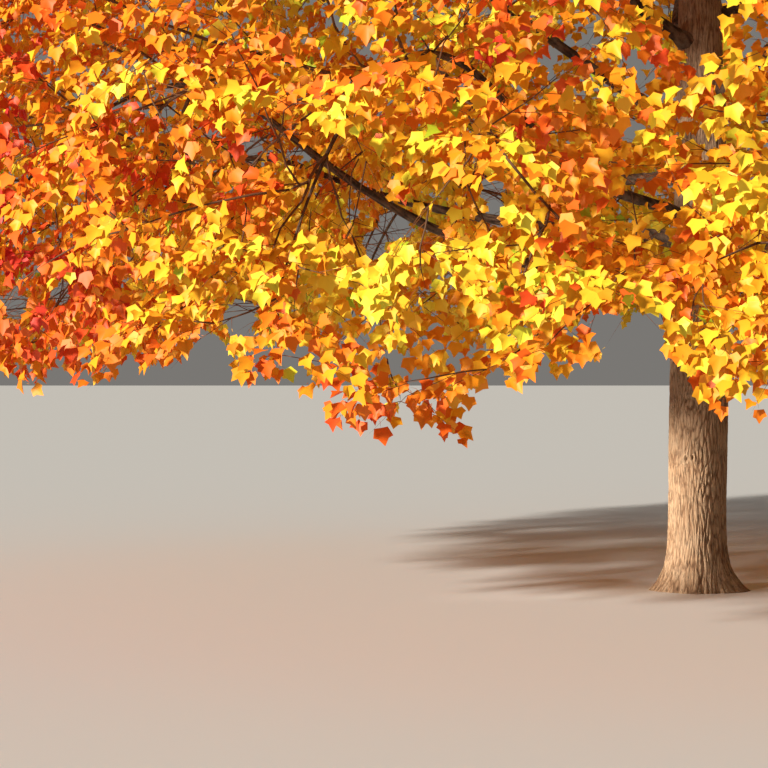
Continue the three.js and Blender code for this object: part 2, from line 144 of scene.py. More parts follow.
def segment_distance(points: Array, start: Array, end: Array) -> Array:
    """Return the distance from points to the line between two ends.

    Args:
        points: (n, 3) points.
        start: one end.
        end: the other end.

    Returns:
        The length of (point - nearest point), the nearest being held between the ends.
    """
    line = end - start
    share = np.clip((points - start) @ line / (line @ line), 0.0, 1.0)
    return np.linalg.norm(points - start - share[:, None] * line, axis=1)


def srgb(red: int, green: int, blue: int) -> Colour:
    """Return an sRGB colour as linear light: ((v + 0.055) / 1.055)^2.4, or v / 12.92 for the darkest.

    Args:
        red: byte from 0 to 255.
        green: byte from 0 to 255.
        blue: byte from 0 to 255.

    Returns:
        Red, green and blue from 0 to 1, with full alpha.
    """
    share = np.array([red, green, blue]) / 255
    light = np.where(share > 0.04045, ((share + 0.055) / 1.055) ** 2.4, share / 12.92)
    return (float(light[0]), float(light[1]), float(light[2]), 1.0)


def curve(start: Array, bend: Array, end: Array, share: Array) -> Array:
    """Return (1-s)^2 start + 2 s (1-s) bend + s^2 end, a quadratic arc.

    Args:
        start: (n, 3) first points.
        bend: (n, 3) points that the arcs lean towards.
        end: (n, 3) last points.
        share: (m,) shares of the way, from 0 to 1, or (n, m) where each arc has its own.

    Returns:
        (n, m, 3) points.
    """
    part = np.atleast_2d(share)[..., None]
    first, lean, last = start[:, None], bend[:, None], end[:, None]
    return (1 - part) ** 2 * first + 2 * part * (1 - part) * lean + part**2 * last


# Surfaces.


@dataclass
class Surface:
    """Vertices and faces on their way into one mesh.

    Each block of faces has its own number of corners. Finishes give the material slot of every face,
    and relief, where there is one, a number at every vertex for the bark's shading.
    """

    vertices: Array
    faces: list[Array]
    finishes: list[Array]
    relief: Array | None = None

    @staticmethod
    def joined(parts: list["Surface"]) -> "Surface":
        """Join surfaces into one, each part's faces moved on by the vertices before it.

        Args:
            parts: the surfaces.

        Returns:
            The joined surface, with relief if every part has it.
        """
        starts = np.cumsum([0] + [len(part.vertices) for part in parts])
        faces = [block + start for part, start in zip(parts, starts) for block in part.faces]
        finishes = [block for part in parts for block in part.finishes]
        reliefs = [part.relief for part in parts if part.relief is not None]
        relief = np.concatenate(reliefs) if len(reliefs) == len(parts) else None
        return Surface(np.concatenate([part.vertices for part in parts]), faces, finishes, relief)

    def triangles(self) -> int:
        """Return how many triangles the faces come to."""
        return sum(len(block) * (block.shape[1] - 2) for block in self.faces)

    def to_object(self, name: str, materials: list[bpy.types.Material], smooth: bool) -> bpy.types.Object:
        """Put the arrays into a mesh object at the origin.

        Args:
            name: the piece's name.
            materials: its material slots, in order.
            smooth: whether its faces are shaded smoothly.

        Returns:
            The new object, linked into the scene.
        """
        mesh = bpy.data.meshes.new(name)
        mesh.vertices.add(len(self.vertices))
        mesh.vertices.foreach_set("co", self.vertices.astype(np.float32).ravel())
        corners = np.concatenate([block.ravel() for block in self.faces])
        sizes = np.concatenate([np.full(len(block), block.shape[1]) for block in self.faces])
        mesh.loops.add(len(corners))
        mesh.loops.foreach_set("vertex_index", corners.astype(np.int32))
        mesh.polygons.add(len(sizes))
        starts = np.concatenate([[0], np.cumsum(sizes)[:-1]])
        mesh.polygons.foreach_set("loop_start", starts.astype(np.int32))
        mesh.polygons.foreach_set("material_index", np.concatenate(self.finishes).astype(np.int32))
        mesh.polygons.foreach_set("use_smooth", np.full(len(sizes), smooth))
        if self.relief is not None:
            layer = mesh.attributes.new("relief", "FLOAT", "POINT")
            layer.data.foreach_set("value", self.relief.astype(np.float32))
        for material in materials:
            mesh.materials.append(material)
        mesh.update(calc_edges=True)
        piece = bpy.data.objects.new(name, mesh)
        bpy.context.scene.collection.objects.link(piece)
        return piece


def ring_walls(rings: int, sides: int) -> Array:
    """Join rings of vertices, numbered ring after ring, into a wall that faces outwards.

    Args:
        rings: how many rings there are.
        sides: vertices of each.

    Returns:
        (n, 4) vertex numbers of the wall's faces.
    """
    row, column = np.meshgrid(np.arange(rings - 1), np.arange(sides), indexing="ij")
    turned = (column + 1) % sides
    corners = [row * sides + column, row * sides + turned]
    corners += [(row + 1) * sides + turned, (row + 1) * sides + column]
    return np.stack(corners, axis=-1).reshape(-1, 4)


def fan(ring: Array, middle: int) -> Array:
    """Return the triangles from each side of a ring of vertices to one vertex in its middle."""
    return np.stack([ring, np.roll(ring, -1), np.full(len(ring), middle)], axis=-1)


def tubes(paths: Array, radii: Array, sides: int, finish: Array) -> Surface:
    """Sweep a round section along many paths at once.

    A ring's points are middle + r (cos a across + sin a down), where across is one fixed direction per
    path made square to the course, and down = course x across. The first ring is closed, and the tube
    runs to a point at its path's end.

    Args:
        paths: (n, rings, 3) centrelines.
        radii: (n, rings) or (n, rings, sides) radii.
        sides: corners of each ring.
        finish: (n,) material slot of each tube.

    Returns:
        The joined surface.
    """
    count, rings = paths.shape[:2]
    course = unit(np.gradient(paths, axis=1))
    chord = unit(paths[:, -1] - paths[:, 0])
    steady = np.eye(3)[np.argmin(np.abs(chord), axis=1)][:, None]
    across = unit(steady - course * np.sum(steady * course, axis=-1, keepdims=True))
    down = np.cross(course, across)
    angle = 2 * np.pi * np.arange(sides) / sides
    spread = radii[..., None] if radii.ndim == 2 else radii
    ring = np.cos(angle)[:, None] * across[:, :, None] + np.sin(angle)[:, None] * down[:, :, None]
    grid = paths[:, :, None] + spread[..., None] * ring
    rounds = rings - 1
    body = grid[:, :rounds].reshape(count, rounds * sides, 3)
    vertices = np.concatenate([body, paths[:, -1:]], axis=1)
    corner = np.arange(1, sides - 1)
    heel = np.stack([np.zeros_like(corner), corner + 1, corner], axis=-1)
    head = fan((rounds - 1) * sides + np.arange(sides), rounds * sides)
    blocks = [ring_walls(rounds, sides), heel, head]
    first = np.arange(count)[:, None, None] * vertices.shape[1]
    faces = [(block[None] + first).reshape(-1, block.shape[1]) for block in blocks]
    finishes = [np.repeat(finish, len(block)) for block in blocks]
    return Surface(vertices.reshape(-1, 3), faces, finishes)


@dataclass(frozen=True)
class BarkPlates:
    """Bark that has split into tall plates, worked out on the unrolled limb.

    The limb is unrolled into cells, so many round it and one for each plate's length along it, with one
    seed point in each. A place's height is a smooth step of how much further its second nearest seed is
    than its nearest: 0 in a furrow and 1 on a plate. Slow and quick sways carry the cells aside, in
    cells, and drift moves them along.
    """

    around: int
    length: float
    furrow: float
    seed: int
    slow_sway: float = 0.45
    slow_lengths: float = 5.3
    quick_sway: float = 0.3
    quick_lengths: float = 2.1
    drift: float = 0.35

    def height(self, turn: Array, along: Array) -> Array:
        """Return the plates' height.

        Args:
            turn: share of a full turn round the limb.
            along: distance along it in metres.

        Returns:
            Numbers from 0 in the furrows to 1 on the plates.
        """
        slow = 2 * turn + along / (self.slow_lengths * self.length)
        quick = 5 * turn - along / (self.quick_lengths * self.length)
        sway = self.slow_sway * np.sin(2 * np.pi * slow)
        sway += self.quick_sway * np.sin(2 * np.pi * quick + 1.7)
        column = turn * self.around + sway
        row = along / self.length + self.drift * np.sin(2 * np.pi * 3 * turn + along / self.length)
        low = int(np.floor(row.min())) - 2
        rows = int(np.ceil(row.max())) - low + 3
        seeds = np.random.default_rng(self.seed).random((self.around, rows, 2))
        distances = []
        for aside in (-1, 0, 1):
            for ahead in (-1, 0, 1):
                cell = np.floor(column).astype(int) + aside
                step = np.floor(row).astype(int) + ahead
                seed = seeds[cell % self.around, step - low]
                distances.append(np.hypot(cell + seed[..., 0] - column, step + seed[..., 1] - row))
        nearest = np.partition(np.stack(distances), 1, axis=0)
        return smoothstep((nearest[1] - nearest[0]) / self.furrow)


# The plan of the tree.


@dataclass(frozen=True)
class View:
    """Where the photograph was taken from, with its picture taken as 768 by 768."""

    position: Triple = (-2.254, -15.0, 1.656)
    picture: float = 768.0
    focal: float = 2083.0
    horizon: float = 360.0
    sensor: float = 36.0

    def ray(self, column: float, row: float) -> Array:
        """Return the level-headed direction through a pixel: (column - half, focal, horizon - row)."""
        return unit(np.array([column - self.picture / 2, self.focal, self.horizon - row]))


@dataclass(frozen=True)
class SightGap:
    """A gap between the leaves, seen from the viewpoint: its pixel, its spread in pixels and its depth."""

    column: float
    row: float
    spread: float
    depth: float = 40.0

    def holds(self, points: Array, view: View) -> Array:
        """Return true for points inside the cone from the viewpoint through the gap, as far as its depth.

        A point is inside where its distance from the ray is under depth times spread / focal length.

        Args:
            points: (n, 3) points.
            view: the viewpoint.

        Returns:
            (n,) truths.
        """
        ray = view.ray(self.column, self.row)
        away = points - np.array(view.position)
        depth = away @ ray
        aside = np.linalg.norm(away - depth[:, None] * ray, axis=1)
        return (aside < depth * self.spread / view.focal) & (depth < self.depth)


@dataclass(frozen=True)
class CrownShape:
    """The crown's outline: a rounded dome over a squarer skirt."""

    height: float = 12.4
    middle: float = 4.3
    foot: float = 0.30
    foot_rise: float = 0.80
    radius: float = 6.25
    lean_left: float = 0.05
    upper_power: float = 2.15
    lower_power: float = 6.0

    def outwardness(self, points: Array) -> Array:
        """Return the share of the way out from the crown's heart to its outline.

        It is (level^p + rise^p)^(1/p), where level is the reach against the spread on that side, rise
        the height from the middle against the dome's or the skirt's, and p the roundness there.

        Args:
            points: (n, 3) points.

        Returns:
            (n,) shares, 1 on the outline.
        """
        azimuth = np.arctan2(points[:, 1], points[:, 0])
        spread = self.radius * (1 - self.lean_left * np.cos(azimuth))
        foot = self.foot + self.foot_rise * (1 + np.sin(azimuth)) / 2
        above = points[:, 2] > self.middle
        half = np.where(above, self.height - self.middle, self.middle - foot)
        power = np.where(above, self.upper_power, self.lower_power)
        level = np.hypot(points[:, 0], points[:, 1]) / spread
        rise = np.abs(points[:, 2] - self.middle) / half
        return (level**power + rise**power) ** (1 / power)


@dataclass(frozen=True)
class HangingLobe:
    """A place at the rim where the skirt hangs lower than beside it, or less low where drop is negative."""

    azimuth: float
    drop: float
    width: float
    reach: float = 5.0
    depth: float = 1.0

    def amount(self, points: Array) -> Array:
        """Return drop exp(-(along the rim / width)^4 - (across it / depth)^2).

        Args:
            points: (n, 3) points.

        Returns:
            (n,) metres.
        """
        along = points @ polar(self.azimuth + 90, 1.0, 0.0)
        across = points @ polar(self.azimuth, 1.0, 0.0) - self.reach
        return self.drop * np.exp(-((along / self.width) ** 4) - (across / self.depth) ** 2)


@dataclass(frozen=True)
class SkirtEdge:
    """The skirt's lower edge, which hangs in lobes and rises towards the trunk and the back."""

    level: float = 1.55
    back_rise: float = 0.42
    inward_rise: float = 1.3
    radius: float = 6.25
    seen: tuple[HangingLobe, ...] = (
        HangingLobe(216, 0.30, 1.00),
        HangingLobe(235.6, 0.13, 0.28),
        HangingLobe(240.4, 0.34, 0.33),
        HangingLobe(245.8, 0.54, 0.37),
        HangingLobe(254.3, 0.40, 0.27),
        HangingLobe(257.8, -0.30, 0.24, depth=1.5),
        HangingLobe(264.4, 0.33, 0.38),
    )
    inward_power: float = 1.5
    further: int = 14
    first: float = 277.0
    step: float = 21.0
    step_scatter: float = 8.0
    further_drop: float = 0.34
    drop_scatter: float = 0.6
    drop_stride: float = 0.7548776662466927
    further_width: float = 0.70

    def lobes(self) -> list[HangingLobe]:
        """Return the lobes that the photograph shows and the like ones round the rest of the rim.

        Returns:
            The lobes, the further ones evenly spaced with a little scatter in place and drop.
        """
        number = np.arange(self.further)
        azimuths = self.first + self.step * number + self.step_scatter * scatter(number + 1)
        drops = self.further_drop * (1 + self.drop_scatter * scatter(number + 1, self.drop_stride))
        rest = [HangingLobe(azimuth, drop, self.further_width) for azimuth, drop in zip(azimuths, drops)]
        return [*self.seen, *rest]

    def height(self, points: Array) -> Array:
        """Return how low a leaf may hang at the points' places.

        It is level + back rise (1 + sin azimuth) / 2 + inward rise (1 - reach / radius)^inward power,
        less the largest and the smallest of the lobes' amounts.

        Args:
            points: (n, 3) points.

        Returns:
            (n,) heights.
        """
        reach = np.hypot(points[:, 0], points[:, 1])
        azimuth = np.arctan2(points[:, 1], points[:, 0])
        inward = np.clip(1 - reach / self.radius, 0, 1) ** self.inward_power
        lowest = self.level + self.back_rise * (1 + np.sin(azimuth)) / 2 + self.inward_rise * inward
        amounts = np.stack([lobe.amount(points) for lobe in self.lobes()])
        return lowest - np.maximum(amounts.max(axis=0), 0) - np.minimum(amounts.min(axis=0), 0)


@dataclass(frozen=True)
class RootRidge:
    """A ridge at the trunk's foot where a root leaves it: azimuth, rise at the ground, width in degrees."""

    azimuth: float
    rise: float
    width: float


@dataclass(frozen=True)
class TrunkForm:
    """The trunk's line and girth, from the flat cut at the ground to the fork."""

    fork: float = 7.3
    heights: tuple[float, ...] = (0, 0.03, 0.075, 0.14, 0.23, 0.4, 1.0, 1.7, 2.6, 3.4, 4.3, 5.6, 7.3)
    girth: tuple[float, ...] = (
        0.262, 0.250, 0.236, 0.220, 0.210, 0.206, 0.209, 0.208, 0.196, 0.172, 0.146, 0.114, 0.078,
    )
    lean: tuple[float, float] = (0.07, 0.04)
    lean_power: float = 1.5
    sway: float = 0.045
    ridges: tuple[RootRidge, ...] = (
        RootRidge(184, 0.085, 34),
        RootRidge(252, 0.040, 30),
        RootRidge(318, 0.052, 26),
        RootRidge(352, 0.110, 24),
        RootRidge(66, 0.066, 32),
        RootRidge(122, 0.056, 30),
    )
    ridge_height: float = 0.13

    def axis(self, heights: Array) -> Array:
        """Return the trunk's middle: lean times (height share)^power, with a slow sway about that.

        Args:
            heights: heights above ground.

        Returns:
            Points, with their coordinates along the last axis.
        """
        share = np.asarray(heights) / self.fork
        sway = self.sway * np.sin(2 * np.pi * share) * share
        x = self.lean[0] * share**self.lean_power + sway
        return np.stack([x, self.lean[1] * share - sway / 2, np.asarray(heights) * 1.0], axis=-1)

    def mean_radius(self, heights: Array) -> Array:
        """Return the girth table's radius, with straight lines between its rows."""
        return np.interp(heights, self.heights, self.girth)

    def smooth_radius(self, heights: Array) -> Array:
        """Return the girth table's radius along smooth arcs.

        Each arc is the cubic through two rows whose slopes there are the mean slopes of the table.

        Args:
            heights: heights above ground.

        Returns:
            Radii.
        """
        rows, girth = np.array(self.heights), np.array(self.girth)
        slope = np.gradient(girth, rows)
        low = np.clip(np.searchsorted(rows, heights, side="right") - 1, 0, len(rows) - 2)
        gap = rows[low + 1] - rows[low]
        t = np.clip((heights - rows[low]) / gap, 0, 1)
        value = (2 * t**3 - 3 * t**2 + 1) * girth[low] + (3 * t**2 - 2 * t**3) * girth[low + 1]
        return value + gap * ((t**3 - 2 * t**2 + t) * slope[low] + (t**3 - t**2) * slope[low + 1])

    def flare(self, heights: Array, azimuths: Array) -> Array:
        """Return how far the root ridges stand out.

        Each adds rise exp(-(off / width)^2) exp(-height / ridge height).

        Args:
            heights: heights above ground.
            azimuths: degrees.

        Returns:
            Metres.
        """
        total = np.zeros(np.broadcast(heights, azimuths).shape)
        for ridge in self.ridges:
            off = degrees_from(azimuths, ridge.azimuth)
            total += ridge.rise * np.exp(-((off / ridge.width) ** 2)) * np.exp(-heights / self.ridge_height)
        return total


@dataclass(frozen=True)
class Tier:
    """One storey of boughs that are alike, and the masses of leaves on them.

    A bough leaves the trunk at foot and has its tip at reach and tip_height. Level is how evenly it
    rises. Its mass spreads to half its depth, width and height about its middle.
    """

    name: str
    count: int
    azimuth: float
    step: float
    foot: float
    foot_step: float
    reach: float
    tip_height: float
    level: float
    foot_radius: float
    tip_radius: float
    mass_reach: float
    mass_height: float
    half: Triple
    droop: float


TIERS = (
    Tier(
        name="skirt", count=9, azimuth=199, step=80, foot=2.06, foot_step=0.115, reach=3.15, tip_height=3.23,
        level=0.45, foot_radius=0.058, tip_radius=0.030, mass_reach=4.42, mass_height=2.78,
        half=(2.1, 2.05, 1.76), droop=0.5,
    ),
    Tier(
        name="middle", count=8, azimuth=178, step=135, foot=3.26, foot_step=0.205, reach=2.5, tip_height=5.15,
        level=0.85, foot_radius=0.052, tip_radius=0.028, mass_reach=3.95, mass_height=5.75,
        half=(2.15, 2.0, 1.75), droop=0.12,
    ),
    Tier(
        name="upper", count=6, azimuth=205, step=60, foot=5.1, foot_step=0.3, reach=1.5, tip_height=7.5,
        level=0.9, foot_radius=0.042, tip_radius=0.024, mass_reach=2.65, mass_height=8.25,
        half=(2.0, 1.9, 1.75), droop=0.0,
    ),
    Tier(
        name="top", count=4, azimuth=160, step=90, foot=6.78, foot_step=0.09, reach=0.62, tip_height=9.35,
        level=1.0, foot_radius=0.034, tip_radius=0.020, mass_reach=1.05, mass_height=10.6,
        half=(1.75, 1.75, 2.0), droop=-0.25,
    ),
)


@dataclass(frozen=True)
class Bough:
    """One bough and the stem that goes on from its tip through its mass, laid out as in the solids."""

    tier: Tier
    index: int
    order: int
    trunk: TrunkForm
    wiggle: float = 0.28
    reach_variety: float = 0.1
    tip_variety: float = 0.26
    mass_reach_variety: float = 0.05
    mass_height_variety: float = 0.3
    stem_over: float = 0.45
    foot_slim: float = 0.86
    tip_slim: float = 0.72

    @property
    def name(self) -> str:
        """Return the tier's name and the bough's number."""
        return f"{self.tier.name}_{self.index + 1}"

    @property
    def azimuth(self) -> float:
        """Return the direction in which the bough leaves the trunk."""
        return (self.tier.azimuth + self.index * self.tier.step) % 360

    @property
    def vary(self) -> float:
        """Return this bough's own number from -0.5 to 0.5."""
        return float(scatter(self.order + 1))

    @property
    def middle(self) -> Array:
        """Return the middle of the mass on the bough."""
        reach = self.tier.mass_reach * (1 + self.mass_reach_variety * self.vary)
        return polar(self.azimuth, reach, self.tier.mass_height + self.mass_height_variety * self.vary)

    @property
    def foot_radius(self) -> float:
        """Return the radius of the bark at the bough's foot, a little slimmer than the solid's."""
        return self.tier.foot_radius * self.foot_slim

    @property
    def tip_radius(self) -> float:
        """Return the radius of the bark at the bough's tip, a little slimmer than the solid's."""
        return self.tier.tip_radius * self.tip_slim

    def points(self, share: Array) -> Array:
        """Return points along the bough.

        They lie on the line from foot to tip, at the height level s + (1 - level) s^3, moved aside by
        wiggle sin(2 pi (s + vary)) s (1 - s).

        Args:
            share: (m,) shares of the way from the trunk's middle to the tip.

        Returns:
            (m, 3) points.
        """
        tier = self.tier
        foot = self.trunk.axis(tier.foot + self.index * tier.foot_step)
        reach = tier.reach * (1 + self.reach_variety * self.vary)
        tip = polar(self.azimuth, reach, tier.tip_height + self.tip_variety * self.vary)
        part = np.asarray(share)[:, None]
        points = foot + (tip - foot) * part
        rise = tier.level * share + (1 - tier.level) * share**3
        points[:, 2] = foot[2] + (tip[2] - foot[2]) * rise
        aside = self.wiggle * np.sin(2 * np.pi * (share + self.vary)) * share * (1 - share)
        return points + aside[:, None] * polar(self.azimuth + 90, 1.0, 0.0)

    def stem(self, share: Array) -> Array:
        """Return points along the stem: an arc on from the tip, through the middle and over.

        Args:
            share: (m,) shares of the way.

        Returns:
            (m, 3) points.
        """
        before, foot = self.points(np.array([0.97, 1.0]))
        course = unit(foot - before)
        over = polar(self.azimuth, self.tier.half[0] * self.stem_over, -self.tier.half[2] * self.tier.droop)
        end = self.middle + over
        bend = foot + course * np.linalg.norm(end - foot) / 2
        return curve(foot[None], bend[None], end[None], share)[0]


# Gaps right through the crown, then those that end at the front bough and bare it, one after another
# along it, and last the bays where the outer leaves stand back.
WINDOWS = (
    SightGap(395, 226, 16),
    SightGap(374, 246, 13),
    SightGap(492, 190, 13),
    SightGap(496, 214, 11),
    SightGap(252, 150, 11),
    SightGap(632, 130, 12),
    SightGap(643, 336, 20),
    SightGap(622, 366, 20),
    SightGap(604, 330, 16),
    SightGap(240, 318, 17),
    SightGap(205, 350, 16),
    SightGap(200, 376, 20),
    SightGap(62, 294, 11),
    SightGap(16, 306, 13),
    SightGap(556, 404, 16),
    SightGap(497, 390, 15),
    SightGap(508, 418, 18),
)
BARED_BOUGH = (
    SightGap(428, 236, 15, 14.6),
    SightGap(404, 222, 15, 14.5),
    SightGap(380, 210, 15, 14.4),
    SightGap(356, 196, 14, 14.3),
    SightGap(334, 182, 14, 14.2),
    SightGap(312, 166, 13, 14.1),
    SightGap(290, 152, 13, 14.0),
    SightGap(268, 138, 12, 13.9),
)
BAYS = (
    SightGap(345, 188, 46, 11.8),
    SightGap(640, 195, 22, 12.2),
    SightGap(660, 240, 18, 12.2),
    SightGap(170, 105, 22, 11.9),
    SightGap(694, 14, 30, 14.7),
)


@dataclass
class CrownPlan:
    """Every bough, and whose space each place in the crown is."""

    trunk: TrunkForm = field(default_factory=TrunkForm)
    shape: CrownShape = field(default_factory=CrownShape)
    edge: SkirtEdge = field(default_factory=SkirtEdge)
    view: View = field(default_factory=View)
    groove: float = 0.045
    groove_width: float = 0.4
    margin: float = 0.015
    box_margin: float = 0.07
    hem_share: float = 0.22
    limb_steps: int = 4
    limb_clearance: float = 0.06
    gaps: tuple[SightGap, ...] = WINDOWS + BARED_BOUGH + BAYS
    boughs: list[Bough] = field(init=False)
    low: Array = field(init=False)
    high: Array = field(init=False)

    def __post_init__(self) -> None:
        """Lay out the boughs in the solids' order."""
        places = [(tier, index) for tier in TIERS for index in range(tier.count)]
        self.boughs = [Bough(tier, index, order, self.trunk) for order, (tier, index) in enumerate(places)]
        self.low, self.high = (np.array(corner) for corner in CAD_BOX)

    def clear_of_limbs(self, points: Array, clearance: float) -> Array:
        """Return true for points that stand clear of the trunk and every bough.

        Args:
            points: (n, 3) points.
            clearance: least distance from the bark.

        Returns:
            (n,) truths.
        """
        axis = self.trunk.axis(np.clip(points[:, 2], 0, self.trunk.fork))
        aside = np.hypot(points[:, 0] - axis[:, 0], points[:, 1] - axis[:, 1])
        clear = aside > self.trunk.mean_radius(points[:, 2]) + clearance
        clear |= points[:, 2] > self.trunk.fork + clearance
        for bough in self.boughs:
            knees = bough.points(np.linspace(0, 1, self.limb_steps + 1))
            for number, (start, end) in enumerate(zip(knees[:-1], knees[1:])):
                share = number / self.limb_steps
                radius = bough.tier.foot_radius * (1 - share) + bough.tier.tip_radius * share
                clear &= segment_distance(points, start, end) > radius + clearance
        return clear

    def in_crown(self, points: Array, furthest: float) -> Array:
        """Return true inside the outline, over the skirt's edge, out of the gaps and in the solids' box.

        Args:
            points: (n, 3) points.
            furthest: the largest outwardness.

        Returns:
            (n,) truths.
        """
        inside = self.shape.outwardness(points) <= furthest
        inside &= points[:, 2] > self.edge.height(points)
        low, high = self.low + self.box_margin, self.high - self.box_margin
        inside &= np.all((points > low) & (points < high), axis=1)
        return inside & self.out_of_gaps(points)

    def out_of_gaps(self, points: Array) -> Array:
        """Return true for points in none of the gaps that the photograph shows."""
        held = np.stack([gap.holds(points, self.view) for gap in self.gaps])
        return ~held.any(axis=0)

    def outward_share(self, points: Array) -> Array:
        """Return the outwardness, or 1 - hem share times the height over the skirt's edge if that is more."""
        over = points[:, 2] - self.edge.height(points)
        return np.maximum(self.shape.outwardness(points), 1 - self.hem_share * over)

    def depth_in_cell(self, points: Array, bough: Bough) -> Array:
        """Return how far points lie behind the nearest plane half-way to another mass's middle.

        Against one other mass that is (d_other^2 - d_own^2) / (2 apart), with d the distances from the
        middles, and the least over all the others is taken.

        Args:
            points: (n, 3) points.
            bough: the bough that carries the mass.

        Returns:
            (n,) metres, negative in another mass's space.
        """
        mine = np.sum((points - bough.middle) ** 2, axis=1)
        depths = np.full(len(points), np.inf)
        for other in self.boughs:
            apart = np.linalg.norm(other.middle - bough.middle)
            if apart > 0:
                away = np.sum((points - other.middle) ** 2, axis=1)
                depths = np.minimum(depths, (away - mine) / (2 * apart))
        return depths

    def own_space(self, points: Array, bough: Bough, furthest: float) -> Array:
        """Return true for points in a mass's own space, which is hollowed out along its borders.

        Args:
            points: (n, 3) points.
            bough: the bough that carries the mass.
            furthest: outwardness that it reaches away from its borders.

        Returns:
            (n,) truths.
        """
        depth = self.depth_in_cell(points, bough)
        limit = furthest - self.groove * np.exp(-depth / self.groove_width)
        own = (depth > self.margin) & (self.shape.outwardness(points) < limit)
        return own & self.in_crown(points, furthest) & self.clear_of_limbs(points, self.limb_clearance)


# Twigs.


@dataclass(frozen=True)
class TwigRule:
    """How twigs of one rank find their places and their parents, and where their own nodes lie."""

    spacing: float
    squat: float
    spacing_inward: float
    candidates: int
    shells: tuple[float, ...]
    outermost: float
    shortest: float
    nodes: tuple[float, ...] = (0.5, 1.0)
    path_weight: float = 0.35
    turn_weight: float = 0.45
    short_weight: float = 4.0


COARSE = TwigRule(
    spacing=1.54, squat=1.0, spacing_inward=0.9, candidates=900, shells=(0.78, 0.42), outermost=0.90,
    shortest=0.75, nodes=(0.3, 0.55, 0.8, 1.0),
)
FINE = TwigRule(
    spacing=0.65, squat=1.5, spacing_inward=3.2, candidates=9000, shells=(0.84, 0.74, 0.5), outermost=0.955,
    shortest=0.28,
)
FINE_HIGH = replace(FINE, spacing=0.69)
FINE_SKIRT = TwigRule(
    spacing=0.445, squat=1.2, spacing_inward=3.6, candidates=18000, shells=(0.925, 0.84, 0.74, 0.5),
    outermost=0.96, shortest=0.22,
)
FINE_BY_TIER = {"skirt": FINE_SKIRT, "middle": FINE, "upper": FINE_HIGH, "top": FINE_HIGH}


@dataclass
class TwigSet:
    """Twigs as arcs: start, bend and end points, radii at both ends, and the mass that they grow in.

    Parent is the number of the twig that each grows from, -1 for the stem, and place the share of the
    way along it. Reach is the share of its own way that a twig is drawn for.
    """

    start: Array
    bend: Array
    end: Array
    thick: Array
    thin: Array
    owner: Array
    fine: Array
    parent: Array
    place: Array
    reach: Array

    @staticmethod
    def joined(sets: list["TwigSet"]) -> "TwigSet":
        """Join sets into one, each set's parents numbered on from the twigs before it.

        Args:
            sets: the sets.

        Returns:
            The joined set.
        """
        names = TwigSet.__dataclass_fields__
        whole = TwigSet(**{name: np.concatenate([getattr(one, name) for one in sets]) for name in names})
        sizes = [len(one.start) for one in sets]
        first = np.repeat(np.cumsum([0] + sizes[:-1]), sizes)
        whole.parent = np.where(whole.parent < 0, -1, whole.parent + first)
        return whole

    def chosen(self, keep: Array) -> "TwigSet":
        """Return the twigs for which keep is true."""
        return TwigSet(**{name: getattr(self, name)[keep] for name in TwigSet.__dataclass_fields__})

    def at(self, share: Array) -> Array:
        """Return the point of each twig at its own share of the way."""
        return curve(self.start, self.bend, self.end, share[:, None])[:, 0]

    def course(self, share: Array) -> Array:
        """Return each twig's direction at its own share of the way."""
        part = share[:, None]
        return unit((1 - part) * (self.bend - self.start) + part * (self.end - self.bend))

    def lengths(self) -> Array:
        """Return the lengths of the twigs' chords."""
        return np.linalg.norm(self.end - self.start, axis=1)


@dataclass(frozen=True)
class GrownTwig:
    """A twig as it has just grown: the node it leaves, its own first node, its arc and its rank."""

    parent: int
    first: int
    bend: Array
    end: Array
    fine: bool


